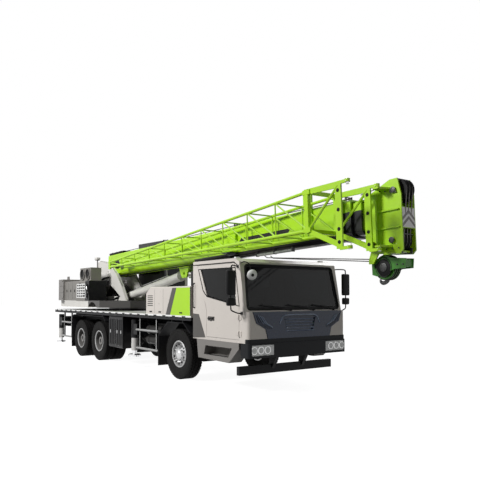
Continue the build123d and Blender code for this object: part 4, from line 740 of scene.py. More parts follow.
for i in range(fascia["slats"]):
    z = fascia["low"] + i * fascia["pitch"]
    line = [fasciaAt(fascia["half"] * (2 * k / fascia["spans"] - 1), z, 0.003)
            for k in range(fascia["spans"] + 1)]
    rope(f"fasciaSlat_{i + 1}", line, 0.011, "carrier", navyPaintedHighlight)
panelLine = [(-0.52, 1.27), (-0.44, 1.40), (-0.30, 1.43), (0.0, 1.435), (0.30, 1.43), (0.44, 1.40),
             (0.52, 1.27)]
rope("fasciaBrow", smoothPath([fasciaAt(y, z, 0.001) for y, z in panelLine], 5), 0.012, "carrier", navyPaintedHighlight)
for side, hand in hands:
    for i in range(fascia["lines"]):
        step = i * fascia["nest"]
        bend = [(1.04 - step, 1.44 - step * 0.3), (0.93 - step, 1.30 - step * 0.2),
                (0.74 - step * 0.4, 1.24 - step * 0.3)]
        rope(f"fasciaLine_{hand}_{i + 1}", [fasciaAt(side * y, z, 0.001) for y, z in bend], 0.010, "carrier",
             navyPaintedHighlight)

# bumper slots and covers, roof vent with its two caps
shape = bmesh.new()
for y in (-0.36, -0.1, 0.16):
    box(shape, at(2.5035, y, 0.80), at(2.5048, y + 0.2, 0.86))
for y in (-0.58, 0.46):
    box(shape, at(2.5025, y, 0.70), at(2.5048, y + 0.12, 0.78), bevel=0.001)
piece("bumperSlots", shape, "carrier", softRubber)
shape = bmesh.new()
for y in (-0.55, 0.55):
    rod(shape, at(1.30, y, 2.488), at(1.30, y, 2.53), 0.16, 24, bevel=0.008)
box(shape, at(0.80, -0.35, 2.488), at(1.55, 0.35, 2.500), bevel=0.01, segments=2)
box(shape, at(0.85, -0.30, 2.498), at(1.50, 0.30, 2.524), bevel=0.012, segments=2)
piece("roofVent", shape, "carrier", beigePaint, smooth=40)
print("cab dressed")


# side covers, deck and chassis
deck = {"dashes": 20, "dashStart": -7.78, "dashPitch": 0.42, "dashLength": 0.14, "ribs": 46, "ribStart": -7.85,
        "ribPitch": 0.138, "ribWidth": 0.07}
tank = {"rear": -1.78, "front": -1.02, "y": 0.98, "radius": 0.105, "strap": 0.109}
for side, hand in hands:
    shape = bmesh.new()
    sidePlate(shape, side, [(-0.50, 1.375), (-0.30, 1.375), (-0.03, 1.968), (-0.21, 1.968)], proud(0.002))
    piece(f"coverGrey_{hand}", shape, "carrier", panelPaint)
    shape = bmesh.new()
    sidePlate(shape, side, [(-0.30, 1.375), (0.515, 1.375), (0.515, 1.968), (-0.03, 1.968)], proud(0.002))
    piece(f"coverLime_{hand}", shape, "carrier", limePaint)
    shape = bmesh.new()
    sidePlate(shape, side, [(0.525, 1.375), (0.56, 1.375), (0.56, 1.99), (0.525, 1.99)], proud(0.002))
    for x in (-1.02, -0.62):
        sideBox(shape, side, (x, x + 0.005), proud(0.0013), (1.40, 1.95))
    for x in (-1.25, -0.82, 0.1):
        sideBox(shape, side, (x, x + 0.11), proud(0.0105), (1.415, 1.445), bevel=0.004, segments=2)
    for i in range(6):
        sideBox(shape, side, (-1.36, -1.10), proud(0.0017), (1.56 + i * 0.045, 1.578 + i * 0.045))
    piece(f"coverTrim_{hand}", shape, "carrier", blackPlastic)
    # pale edge of the deck and its dark dashes
    shape = bmesh.new()
    sideBox(shape, side, (-7.925, 0.555), (1.225, 1.2535), (1.338, 1.3735), bevel=0.004, segments=2)
    piece(f"deckEdge_{hand}", shape, "carrier", whitePaint)
    shape = bmesh.new()
    for i in range(deck["dashes"]):
        x = deck["dashStart"] + i * deck["dashPitch"]
        sideBox(shape, side, (x, x + deck["dashLength"]), (1.2535, 1.2545), (1.338, 1.362))
    piece(f"deckDashes_{hand}", shape, "carrier", darkPaint)
    # ribbed deck plates
    shape = bmesh.new()
    for i in range(deck["ribs"]):
        x = deck["ribStart"] + i * deck["ribPitch"]
        sideBox(shape, side, (x, x + deck["ribWidth"]), (0.75, 1.20), (1.3695, 1.3735))
    piece(f"deckRibs_{hand}", shape, "carrier", deckMetal)
    # seams and latches of the lockers
    shape = bmesh.new()
    for x in (-3.57, -3.18, -2.98):
        sideBox(shape, side, (x, x + 0.005), (1.2305, 1.2335), (0.50, 1.20))
    for x in (-3.50, -3.09, -2.86):
        sideBox(shape, side, (x, x + 0.03), (1.232, 1.2455), (0.82, 0.90), bevel=0.004, segments=2)
    piece(f"lockerTrim_{hand}", shape, "carrier", brightSteel)
    # air tanks and pipes behind the side guards
    shape = bmesh.new()
    for z in (0.98, 0.74):
        y = side * tank["y"]
        rod(shape, at(tank["rear"], y, z), at(tank["front"], y, z), tank["radius"], 28, bevel=0.03)
        for x in (-1.62, -1.18):
            rod(shape, at(x - 0.02, y, z), at(x + 0.02, y, z), tank["strap"], 28)
    sideBox(shape, side, (-1.66, -1.10), (0.82, 0.88), (0.60, 1.13))
    sideBox(shape, side, (-1.50, -1.30), (0.42, 0.85), (0.86, 0.96))
    piece(f"airTanks_{hand}", shape, "carrier", darkPaint, smooth=40)
    for i, z in enumerate((0.86, 1.10)):
        line = [(-2.0, 0.9, z + 0.06), (-1.9, 0.96, z + 0.05), (tank["rear"], tank["y"], z),
                (-1.5, 1.0, z - 0.12)]
        rope(f"airPipe_{hand}_{i + 1}", smoothPath(path(line, side)), 0.012, "carrier", softRubber)
    # mud flaps
    shape = bmesh.new()
    for x, top in ((-0.852, 0.80), (-6.388, 0.72)):
        sideBox(shape, side, (x, x + 0.008), (0.93, 1.24), (0.24, top))
    piece(f"mudFlaps_{hand}", shape, "carrier", softRubber)
    # tail lamp lenses
    shape = bmesh.new()
    for y in (0.66, 0.75, 0.84, 0.93):
        rod(shape, at(-7.958, side * y, 1.352), at(-7.966, side * y, 1.352), 0.014, 20)
    piece(f"tailLenses_{hand}", shape, "carrier", lampRed)

# air intake behind the cab
shape = bmesh.new()
box(shape, at(0.45, -1.19, 2.002), at(0.60, -0.80, 2.31), bevel=0.012, segments=2)
for i in range(6):
    box(shape, at(0.47, -1.196, 2.04 + i * 0.04), at(0.58, -1.188, 2.06 + i * 0.04))
piece("airIntake", shape, "carrier", darkPaint, smooth=40)

# driveline under the frame
shape = bmesh.new()
rod(shape, at(-1.25, 0, 0.80), at(-3.95, 0, 0.62), 0.055, 24)
rod(shape, at(-4.65, 0, 0.62), at(-5.30, 0, 0.62), 0.05, 24)
for x, z in ((-1.32, 0.795), (-3.88, 0.625), (-4.72, 0.62), (-5.22, 0.62)):
    rod(shape, at(x - 0.03, 0, z), at(x + 0.03, 0, z), 0.085, 24, bevel=0.006)
for x in (-4.325, -5.675):
    rod(shape, at(x - 0.20, 0, 0.56), at(x + 0.02, 0, 0.56), 0.11, 28, tip=0.19)
    rod(shape, at(x + 0.02, 0, 0.56), at(x + 0.12, 0, 0.56), 0.19, 28, tip=0.12)
piece("driveline", shape, "carrier", darkPaint, smooth=40)
shape = bmesh.new()
rod(shape, at(-1.60, 0.52, 1.02), at(-1.05, 0.52, 1.02), 0.13, 28, bevel=0.02)
piece("silencer", shape, "carrier", darkSteel, smooth=40)
line = [(-0.9, 0.36, 1.05), (-1.0, 0.50, 1.02), (-1.1, 0.52, 1.02)]
rope("exhaust", smoothPath(path(line)), 0.045, "carrier", darkSteel, sides=5)
for i, y in enumerate((-0.36, 0.36)):
    line = [(-0.6, y, 0.95), (-2.0, y, 1.0), (-3.6, y, 1.0), (-4.2, y * 0.9, 0.9), (-5.6, y * 0.9, 0.9)]
    rope(f"brakeLine_{i + 1}", smoothPath(path(line)), 0.009, "carrier", softRubber)
print("chassis dressed")


# upper works: bolts on the slewing ring's flange
slewRing = {"bolts": 48, "reach": 0.575, "height": 1.452}
slewAxis = Vector(joints["slew"]["pos_m"])
shape = bmesh.new()
for i in range(slewRing["bolts"]):
    angle, reach = math.tau * i / slewRing["bolts"], slewRing["reach"]
    spot = Vector((slewAxis.x + reach * math.cos(angle), reach * math.sin(angle), slewRing["height"]))
    rod(shape, spot, spot + Vector((0, 0, -0.012)), 0.012, 6)
piece("slewBolts", shape, "superstructure", darkSteel)

# rope wound on the two winches
winches = {"places": {"main": -6.43, "auxiliary": -7.01}, "height": 1.99, "turns": 22, "pitch": 0.0195,
           "core": 0.185, "wound": 0.203, "strand": 0.0095}
for name, x in winches["places"].items():
    turns, pitch, strand = winches["turns"], winches["pitch"], winches["strand"]
    centre = at(x, 0, winches["height"])
    profile = [(winches["core"], -turns * pitch / 2)]
    for i in range(turns):
        middle = (i + 0.5 - turns / 2) * pitch
        profile += [(winches["wound"] + strand * math.cos(a), middle + strand * math.sin(a))
                    for a in (-1.3, -0.65, 0, 0.65, 1.3)]
    profile += [(winches["core"], turns * pitch / 2)]
    shape = bmesh.new()
    ringProfile(shape, profile, centre, across, 40)
    piece(f"{name}Coil", shape, "superstructure", ropeSteel, smooth=60)
    shape = bmesh.new()
    for side in (-1, 1):
        boltRing(shape, centre + Vector((0, side * 0.2535, 0)), 0.225, 8, side, 0.01, 0.022, sides=14)
        stud(shape, centre + Vector((0, side * 0.325, 0)), side, 0.04, 0.12, 28, bevel=0.008)
        boltRing(shape, centre + Vector((0, side * 0.365, 0)), 0.095, 8, side, 0.008, 0.01)
    piece(f"{name}WinchCaps", shape, "superstructure", darkSteel, smooth=35)

# hoses and valves seen through the goose neck's windows
neckHose = {"count": 5, "outer": 0.235, "gap": 0.018, "radius": 0.015}
for side, hand in hands:
    for i in range(neckHose["count"]):
        y = side * (neckHose["outer"] - neckHose["gap"] * i)
        line = [(-5.86 + 0.05 * i, y, 1.68), (-5.84 + 0.06 * i, y, 1.95),
                (-5.66 + 0.05 * i, y, 2.12 - 0.04 * i), (-5.38, y, 2.05 - 0.05 * i),
                (-5.18, y, 1.86 - 0.03 * i), (-5.12 + 0.05 * i, y, 1.68)]
        rope(f"neckHose_{hand}_{i + 1}", smoothPath(path(line)), neckHose["radius"], "superstructure",
             softRubber)
    shape = bmesh.new()
    sideBox(shape, side, (-5.72, -5.36), (0.15, 0.24), (1.662, 1.80), bevel=0.008, segments=2)
    for i in range(5):
        rod(shape, at(-5.68 + i * 0.07, side * 0.20, 1.80), at(-5.68 + i * 0.07, side * 0.20, 1.86), 0.014, 10)
    piece(f"valveBlock_{hand}", shape, "superstructure", darkSteel, smooth=40)
    # cap and bolts over each end of the boom's pivot
    shape = bmesh.new()
    ringProfile(shape, [(0.060, 0.0), (0.060, 0.022), (0.115, 0.022), (0.125, 0.012), (0.125, 0.0)],
                at(-5.7, side * 0.325, 2.5), (0, side, 0), 36)
    boltRing(shape, at(-5.7, side * 0.347, 2.5), 0.09, 8, side, 0.009, 0.011)
    piece(f"pivotCap_{hand}", shape, "superstructure", palePaint, smooth=35)
    # edge strip over the goose neck
    shape = bmesh.new()
    line = [(-6.30, 2.93), (-5.80, 2.85), (-5.45, 2.69), (-5.10, 2.46), (-4.72, 2.08), (-4.45, 1.70)]
    for (x0, z0), (x1, z1) in zip(line, line[1:]):
        run = Vector((x1 - x0, 0, z1 - z0)).normalized()
        lift = Vector((-run.z, 0, run.x)) * 0.012
        corners = [at(x0, 0, z0), at(x1, 0, z1), at(x1, 0, z1) - lift, at(x0, 0, z0) - lift]
        plate(shape, [(c.x, c.z) for c in corners], *sorted((side * 0.255, side * 0.345)), "y")
    piece(f"neckRim_{hand}", shape, "superstructure", palePaint)

# work lamps on two posts behind the goose neck
shape = bmesh.new()
for y in (-0.34, 0.34):
    rod(shape, at(-6.56, y, 2.36), at(-6.56, y, 2.98), 0.018, 12)
    box(shape, at(-6.62, y - 0.05, 2.95), at(-6.50, y + 0.05, 2.965))
piece("lampPosts", shape, "superstructure", greyPaint, smooth=40)
shape = bmesh.new()
for y in (-0.34, 0.34):
    box(shape, at(-6.64, y - 0.07, 2.965), at(-6.48, y + 0.07, 3.05), bevel=0.02, segments=3)
piece("workLamps", shape, "superstructure", palePaint, smooth=40)

# valve bank and hoses on the outer face of the right cheek
shape = bmesh.new()
for x, z in ((-6.10, 1.72), (-6.02, 1.94), (-5.92, 2.12)):
    box(shape, at(x, -0.52, z), at(x + 0.26, -0.33, z + 0.16), bevel=0.008, segments=2)
    for i in range(3):
        rod(shape, at(x + 0.05 + i * 0.08, -0.52, z + 0.08), at(x + 0.05 + i * 0.08, -0.56, z + 0.08), 0.018,
            10)
box(shape, at(-6.14, -0.36, 1.665), at(-6.08, -0.33, 2.35), bevel=0.004)
piece("valveBank", shape, "superstructure", darkSteel, smooth=40)
valveHose = {"count": 7, "first": -6.06, "gap": 0.055, "radius": 0.016}
for i in range(valveHose["count"]):
    x, y = valveHose["first"] + valveHose["gap"] * i, -0.56 - 0.012 * (i % 3)
    line = [(x, -0.50, 1.80 + 0.05 * i), (x + 0.02, y, 1.84 + 0.05 * i), (x + 0.10, y - 0.02, 1.98 + 0.04 * i),
            (x + 0.18, y, 2.20 + 0.02 * i), (x + 0.16, -0.44, 2.34), (x + 0.12, -0.36, 2.38)]
    rope(f"valveHose_{i + 1}", smoothPath(path(line)), valveHose["radius"], "superstructure", softRubber)

# hoses looped over the outer face of the right machinery cover
for i in range(4):
    x, top = -5.465 + 0.05 * i, 2.02 + 0.06 * (i % 3)
    line = [(x, -1.160, 1.72), (x, -1.178, 1.78), (x + 0.01, -1.180, top - 0.08), (x + 0.05, -1.182, top),
            (x + 0.10, -1.180, top - 0.10), (x + 0.11, -1.160, top - 0.20)]
    outside = brightSteel if i % 3 == 1 else softRubber
    rope(f"coverHose_{i + 1}", smoothPath(path(line)), 0.014, "superstructure", outside)

# fans of the oil cooler behind wire guards
fan = {"places": (-6.10, -5.67), "height": 2.465, "blades": 7, "pitch": 0.6,
       "rings": (0.045, 0.08, 0.115, 0.15), "wire": 0.0035}
shape, guard = bmesh.new(), bmesh.new()
for x in fan["places"]:
    z, wire = fan["height"], fan["wire"]
    rod(shape, at(x, -0.955, z), at(x, -0.995, z), 0.04, 20, bevel=0.004)
    for i in range(fan["blades"]):
        blade = Matrix.Translation(at(x, -0.975, z)) @ turned(math.tau * i / fan["blades"], across)
        blade = blade @ Matrix.Translation((0, 0, 0.088)) @ turned(fan["pitch"], upward)
        bmesh.ops.create_cube(shape, size=1, matrix=blade @ Matrix.Diagonal((0.055, 0.006, 0.115, 1)))
    centre = at(x, -1.022, z)
    for radius in fan["rings"]:
        outer, inner = radius + wire, radius - wire
        ringProfile(guard, [(outer, -wire), (outer, wire), (inner, wire), (inner, -wire)], centre, across, 36)
    for i in range(4):
        reach = spoke(math.pi * i / 4, 0.158)
        rod(guard, centre - reach, centre + reach, 0.003, 6)
piece("coolerFans", shape, "superstructure", blackPlastic)
piece("fanGuards", guard, "superstructure", darkSteel, smooth=40)

# panel lines and latches on the machinery covers
shape = bmesh.new()
for x in (-6.95, -6.60, -6.26, -5.74):
    box(shape, at(x, -1.1725 if x > -6.26 else -1.1515, 1.70), at(x + 0.006, -1.148, 2.22))
for x in (-7.12, -6.77, -6.43):
    box(shape, at(x, -1.162, 1.92), at(x + 0.03, -1.148, 2.00), bevel=0.004, segments=2)
for x in (-5.95, -5.45):
    box(shape, at(x, -1.182, 2.17), at(x + 0.08, -1.168, 2.195), bevel=0.004, segments=2)
piece("coverLines", shape, "superstructure", blackPlastic)

# louvres behind a pale grid
louvre = {"columns": 4, "rows": 5, "x": -6.15, "z": 1.775, "wide": 0.165, "high": 0.08, "tilt": 0.7}
shape = bmesh.new()
for i in range(louvre["columns"]):
    for j in range(louvre["rows"]):
        for k in range(2):
            x, z = louvre["x"] + louvre["wide"] * i, louvre["z"] + louvre["high"] * j
            slat = Matrix.Translation(at(x + 0.065, -1.150, z + 0.012 + 0.024 * k))
            slat = slat @ turned(louvre["tilt"], forward)
            bmesh.ops.create_cube(shape, size=1, matrix=slat @ Matrix.Diagonal((0.13, 0.022, 0.003, 1)))
piece("louvreSlats", shape, "superstructure", darkPaint)
shape = bmesh.new()
for i in range(louvre["columns"] + 1):
    x = louvre["x"] + louvre["wide"] * i
    box(shape, at(x - 0.04, -1.1745, 1.735), at(x, -1.1700, 2.175))
for j in range(louvre["rows"] + 1):
    z = louvre["z"] + louvre["high"] * j
    box(shape, at(-6.19, -1.1750, z - 0.035), at(-5.49, -1.1700, z - 0.005))
piece("louvreGrid", shape, "superstructure", whitePaint)

# counterweight: cast seams, round plugs, slanting reflector strips on the tail
shape = bmesh.new()
for z in (1.90, 2.12):
    for y in (-1.2015, 1.1995):
        box(shape, at(-7.66, y, z), at(-7.325, y + 0.002, z + 0.008))
    box(shape, at(-8.0015, -0.88, z), at(-7.9995, 0.88, z + 0.008))
for y in (-1.2045, 1.1975):
    for z in (1.72, 2.28):
        rod(shape, at(-7.40, y, z), at(-7.40, y + 0.007, z), 0.022, 16)
piece("counterweightSeams", shape, "superstructure", darkPaint)
shape = bmesh.new()
for i in range(6):
    y = -0.84 + i * 0.28
    plate(shape, [(y, 1.74), (y + 0.14, 1.74), (y + 0.24, 1.86), (y + 0.10, 1.86)], frontAxle - 8.0015,
          frontAxle - 7.9995, "x")
piece("rearStripes", shape, "superstructure", lampRed)

# chequered foot plate and a bundle of hoses on the floor
shape = bmesh.new()
box(shape, at(-5.15, -1.14, 1.6605), at(-4.50, -0.46, 1.668), bevel=0.002)
for i in range(9):
    for j in range(9):
        box(shape, at(-5.11 + i * 0.068, -1.11 + j * 0.07, 1.667),
            at(-5.075 + i * 0.068, -1.10 + j * 0.07, 1.670))
piece("footPlate", shape, "superstructure", darkSteel)
for i in range(4):
    y = -0.40 - 0.035 * i
    line = [(-6.2, y, 1.69), (-5.6, y, 1.70), (-5.1, y + 0.02, 1.69), (-4.95, y + 0.12, 1.76),
            (-4.86, y + 0.2, 1.80)]
    rope(f"floorHose_{i + 1}", smoothPath(path(line)), 0.014, "superstructure", softRubber)

# operator's cab: door seal and handle, work lamps, grab rail
line = path([(-4.51, 1.2015, 2.30), (-4.51, 1.2015, 3.19), (-3.87, 1.2015, 3.19), (-3.87, 1.2015, 2.30)])
rope("operatorDoorSeal", line, 0.011, "operator_door", softRubber, closed=True)
shape = bmesh.new()
box(shape, at(-4.56, 1.2005, 2.08), at(-4.42, 1.2165, 2.11), bevel=0.004, segments=2)
piece("operatorDoorHandle", shape, "operator_door", blackPlastic)
shape = bmesh.new()
for y in (0.56, 1.06):
    box(shape, at(-3.74, y - 0.07, 3.33), at(-3.66, y + 0.07, 3.43), bevel=0.012, segments=2)
piece("cabWorkLamps", shape, "superstructure", blackPlastic, smooth=40)
shape = bmesh.new()
for y in (0.56, 1.06):
    box(shape, at(-3.662, y - 0.055, 3.345), at(-3.656, y + 0.055, 3.415))
piece("cabWorkLenses", shape, "superstructure", lampClear)
line = [(-4.78, 1.20, 1.95), (-4.78, 1.24, 1.98), (-4.78, 1.24, 2.6), (-4.78, 1.20, 2.63)]
rope("cabGrab", smoothPath(path(line)), 0.013, "superstructure", blackPlastic)
print("upper works dressed")


# boom
def boomBox(shape, u, y, w, bevel=0.0, segments=1):
    return box(shape, (u[0], y[0], w[0]), (u[1], y[1], w[1]), bevel, segments)


def boomPiece(name, shape, body, material, smooth=None):
    return piece(name, boomTurn(shape), body, material, smooth=smooth)


# dark stripe along both sides, and the sheet hood over the tail
shape = bmesh.new()
for y in (-0.2615, 0.2595):
    start = 6.60 if y < 0 else 6.30
    plate(shape, [(start, 0.185), (8.15, 0.185), (8.24, 0.285), (start + 0.1, 0.285)], y, y + 0.002, "y")
boomPiece("boomStripe", shape, "boom_base", darkPaint)
shape = bmesh.new()
boomBox(shape, (-0.12, 0.90), (-0.25, 0.25), (0.571, 0.635), bevel=0.02, segments=3)
for u in (0.1, 0.4, 0.7):
    boomBox(shape, (u, u + 0.03), (-0.253, 0.253), (0.573, 0.638), bevel=0.004)
boomPiece("boomHood", shape, "boom_base", blackPlastic, smooth=40)

# bolts and pad covers at the front collar
shape = bmesh.new()
for side in (-1, 1):
    for u in (9.405, 9.49):
        for w in (-0.02, 0.12, 0.42, 0.52):
            stud(shape, Vector((u, side * 0.284, w)), side, 0.012, 0.014)
for y in (-0.16, 0, 0.16):
    for u in (9.405, 9.49):
        rod(shape, Vector((u, y, 0.594)), Vector((u, y, 0.608)), 0.014, 6)
boomPiece("collarBolts", shape, "boom_base", darkSteel)
shape = bmesh.new()
for side in (-1, 1):
    y = sorted((side * 0.284, side * 0.292))
    for w in (0.02, 0.35):
        boomBox(shape, (9.40, 9.49), y, (w, w + 0.14), bevel=0.003)
boomPiece("padCovers", shape, "boom_base", darkPaint)

# bosses round the pin of the boom's foot
shape = bmesh.new()
for side in (-1, 1):
    ringProfile(shape, [(0.057, 0.0), (0.057, 0.014), (0.098, 0.014), (0.102, 0.008), (0.102, 0.0)],
                Vector((0, side * 0.268, 0)), (0, side, 0), 36)
boomPiece("footBosses", shape, "boom_base", limePaint, smooth=35)

# ribbed cable duct and its brackets under the right edge
duct = {"y": -0.215, "w": -0.128, "core": 0.022, "ring": 0.029, "rings": 44, "pitch": 0.024}
shape = bmesh.new()
y, w = duct["y"], duct["w"]
rod(shape, (7.16, y, w), (8.24, y, w), duct["core"], 16)
for i in range(duct["rings"]):
    u = 7.18 + i * duct["pitch"]
    rod(shape, (u, y, w), (u + duct["pitch"] / 2, y, w), duct["ring"], 16)
boomPiece("cableDuct", shape, "boom_base", paleHose)
shape = bmesh.new()
for u in (7.16, 7.70, 8.22):
    boomBox(shape, (u, u + 0.03), (-0.25, -0.18), (-0.16, -0.07), bevel=0.003)
boomPiece("ductClips", shape, "boom_base", darkSteel)
for i in range(2):
    y = -0.205 + 0.03 * i
    line = [onBoom(u, y, w) for u, w in ((0.35, -0.075), (0.6, -0.107), (4.0, -0.107), (7.16, -0.107))]
    rope(f"boomPipe_{i + 1}", line, 0.010, "boom_base", softRubber)

# hoist rope over the boom, its guides, and cable drum at its left
ropeRadius = 0.009
hoist = [at(winches["places"]["main"], 0.02, 2.19), onBoom(-0.10, 0.02, 0.665), onBoom(0.9, 0.02, 0.662),
         onBoom(9.46, 0.02, 0.655)]
rope("hoistRope", hoist[1:], ropeRadius, "boom_base", ropeSteel)
rope("winchRope", [hoist[0], at(-6.30, 0.02, 2.40), hoist[1] - boomDir * 0.03], ropeRadius, "superstructure",
     ropeSteel)
shape = bmesh.new()
for u in (0.2, 3.2, 6.2, 9.43):
    boomBox(shape, (u - 0.02, u + 0.02), (-0.06, -0.045), (0.565, 0.69), bevel=0.002)
    boomBox(shape, (u - 0.02, u + 0.02), (0.085, 0.10), (0.565, 0.69), bevel=0.002)
    rod(shape, (u, -0.055, 0.675), (u, 0.095, 0.675), 0.01, 12)
    rod(shape, (u, -0.04, 0.640), (u, 0.08, 0.640), 0.012, 16)
boomPiece("ropeGuides", shape, "boom_base", darkSteel, smooth=40)
shape = bmesh.new()
ringProfile(shape, [(0.05, -0.05), (0.20, -0.05), (0.20, -0.04), (0.15, -0.04), (0.15, 0.04), (0.20, 0.04),
                    (0.20, 0.05), (0.05, 0.05)],
            Vector((1.6, 0.335, 0.30)), across, 36)
rod(shape, (1.6, 0.26, 0.30), (1.6, 0.40, 0.30), 0.05, 20)
boomPiece("cableDrum", shape, "boom_base", darkSteel, smooth=35)

# collars and oil lines on the luffing cylinder
foot = Vector(joints["luff_barrel_pin"]["pos_m"])
ram = (at(-5.7, 0, 2.5) + boomDir * 4.143 - boomUp * 0.285 - foot).normalized()
over = Vector((-ram.z, 0, ram.x))
shape = bmesh.new()
for along in (0.42, 1.6, 2.45):
    rod(shape, foot + ram * along, foot + ram * (along + 0.035), 0.121, 36, bevel=0.003)
piece("barrelBands", shape, "luff_barrel", palePaint, smooth=40)
for i in range(2):
    y, end = 0.05 - 0.1 * i, 2.0 + 0.4 * i
    bends = ((0.40, 0.10), (0.46, 0.135), (end, 0.135), (end + 0.06, 0.10))
    line = [foot + ram * along + over * rise + Vector((0, y, 0)) for along, rise in bends]
    rope(f"barrelPipe_{i + 1}", line, 0.011, "luff_barrel", brightSteel)
shape = bmesh.new()
for along in (0.9, 1.5, 1.95):
    middle = foot + ram * along + over * 0.122
    rod(shape, middle - Vector((0, 0.07, 0)), middle + Vector((0, 0.07, 0)), 0.012, 8)
piece("pipeClips", shape, "luff_barrel", darkSteel)


# boom head
headTop, headFoot = Vector((10.51, 0, 0.58)), Vector((10.45, 0, -0.205))
headSheaves = ((headTop, 0.19), (headFoot, 0.165))       # pin and radius of each
shape = bmesh.new()
for pin, radius in headSheaves:
    for y in (-0.075, 0, 0.075):
        profile = [(0.0355, -0.025), (0.0355, 0.025), (0.065, 0.025), (0.072, 0.010), (radius - 0.052, 0.010),
                   (radius - 0.042, 0.025), (radius, 0.025), (radius - 0.018, 0.012), (radius - 0.028, 0.0),
                   (radius - 0.018, -0.012), (radius, -0.025),
                   (radius - 0.042, -0.025), (radius - 0.052, -0.010), (0.072, -0.010), (0.065, -0.025)]
        ringProfile(shape, profile, pin + Vector((0, y, 0)), across, 48)
grooved = boomPiece("groovedSheaves", shape, "boom_head", blackPlastic, smooth=40)
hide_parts("head_sheaves")

# white plate with grey chevrons on the head's front
shape = bmesh.new()
plate(shape, [(-0.155, -0.02), (0.155, -0.02), (0.155, 0.29), (-0.155, 0.29)], 10.640, 10.6425, "x")
boomPiece("chevronPlate", shape, "boom_head", whitePaint)
shape = bmesh.new()
for w in (-0.015, 0.085):
    for side in (-1, 1):
        plate(shape, [(0, w + 0.125), (side * 0.152, w), (side * 0.152, w + 0.052), (0, w + 0.177)], 10.6415,
              10.6435, "x")
boomPiece("chevrons", shape, "boom_head", greyPaint)

# rope keepers, pin ends with their bolts, ribs on the side plates
shape = bmesh.new()
for pin, radius in headSheaves:
    for angle in (0.5, 1.4, 2.3):
        spot = pin + spoke(angle, radius + 0.012)
        if spot.x < 10.625 and spot.z < 0.755:
            rod(shape, spot - Vector((0, 0.16, 0)), spot + Vector((0, 0.16, 0)), 0.009, 10)
for side in (-1, 1):
    for pin in (headTop, headFoot):
        spot = pin + Vector((0, side * 0.185, 0))
        stud(shape, spot, side, 0.018, 0.05, 24, bevel=0.003)
        boltRing(shape, spot, 0.034, 6, side, 0.026, 0.007)
boomPiece("headPins", shape, "boom_head", darkSteel, smooth=35)
shape = bmesh.new()
for side in (-1, 1):
    y = sorted((side * 0.184, side * 0.200))
    boomBox(shape, (10.20, 10.60), y, (0.26, 0.285), bevel=0.003)
    boomBox(shape, (10.20, 10.60), y, (-0.02, 0.005), bevel=0.003)
    boomBox(shape, (10.16, 10.185), y, (-0.30, 0.48), bevel=0.003)
boomPiece("headRibs", shape, "boom_head", limePaint)
shape = bmesh.new()
for i in range(4):
    for side in (-1, 1):
        stud(shape, Vector((10.26 + i * 0.1, side * 0.184, 0.60 - i * 0.02)), side, 0.009, 0.012)
        stud(shape, Vector((10.24 + i * 0.11, side * 0.184, -0.34)), side, 0.009, 0.012)
boomPiece("headBolts", shape, "boom_head", darkSteel)


# hoist rope over the top sheave, down the front and under the foot sheave
def sheaveWrap(over, under):
    # rope over the top sheave and under the foot sheave, by angles round their pins
    return [headTop + spoke(a, 0.169) for a in over] + [headFoot + spoke(a, 0.144) for a in under]


line = [Vector((9.72, 0, 0.665)), Vector((10.30, 0, 0.735))]
line += sheaveWrap((1.5, 1.2, 0.9, 0.6, 0.3, 0.05), (0.12, -0.2, -0.6, -1.0, -1.3))
rope("headRope", [onBoom(p.x, 0, p.z) for p in line], ropeRadius, "boom_head", ropeSteel)
for side, hand in hands:
    wrap = sheaveWrap((2.2, 1.8, 1.4, 1.0, 0.6, 0.2, -0.1), (0.12, -0.2, -0.6, -1.0, -1.4, -1.8))
    rope(f"headRope_{hand}", [onBoom(p.x, side * 0.075, p.z) for p in wrap], ropeRadius, "boom_head", ropeSteel)
shape = bmesh.new()
boomBox(shape, (10.30, 10.42), (-0.155, 0.155), (-0.385, -0.375))
for y in (-0.13, 0.11):
    boomBox(shape, (10.44, 10.60), (y, y + 0.02), (-0.42, -0.33), bevel=0.003)
boomPiece("footKeepers", shape, "boom_head", darkSteel)

# height-limit switch near the right cheek
shape = bmesh.new()
boomBox(shape, (10.02, 10.12), (-0.235, -0.187), (-0.30, -0.20), bevel=0.006, segments=2)
boomPiece("limitSwitch", shape, "boom_head", blackPlastic)


# jib: holes and pins of its forks, lugs, sheave at the tip
forkSides = (-1.03, -0.35)
shape = bmesh.new()
for y in forkSides:
    for side in (-1, 1):
        for w in (0.55, 0.25, -0.05, -0.25):
            stud(shape, Vector((10.15, y + side * 0.0151, w)), side, 0.004, 0.03, 20)
boomPiece("forkHoles", shape, "jib", softRubber)
shape = bmesh.new()
for y in forkSides:
    for w in (-0.336, 0.654):
        rod(shape, (10.34, y, w - 0.045), (10.34, y, w + 0.045), 0.026, 20, bevel=0.003)
        rod(shape, (10.34, y - 0.05, w), (10.34, y + 0.05, w), 0.006, 8)
boomPiece("forkPins", shape, "jib", brightSteel, smooth=40)
shape = bmesh.new()
for y in forkSides:
    for w in (0.02, 0.64):
        boomBox(shape, (9.40, 9.56), (y - 0.037, y + 0.037), (w - 0.04, w + 0.04), bevel=0.004)
boomPiece("jibLugs", shape, "jib", limePaint)
shape = bmesh.new()
ringProfile(shape, [(0.02, -0.02), (0.02, 0.02), (0.13, 0.02), (0.115, 0.0), (0.13, -0.02)],
            Vector((1.42, -0.69, 0.15)), across, 36)
rod(shape, (1.42, -0.86, 0.15), (1.42, -0.52, 0.15), 0.016, 14)
boomPiece("jibTipSheave", shape, "jib", darkSteel, smooth=40)


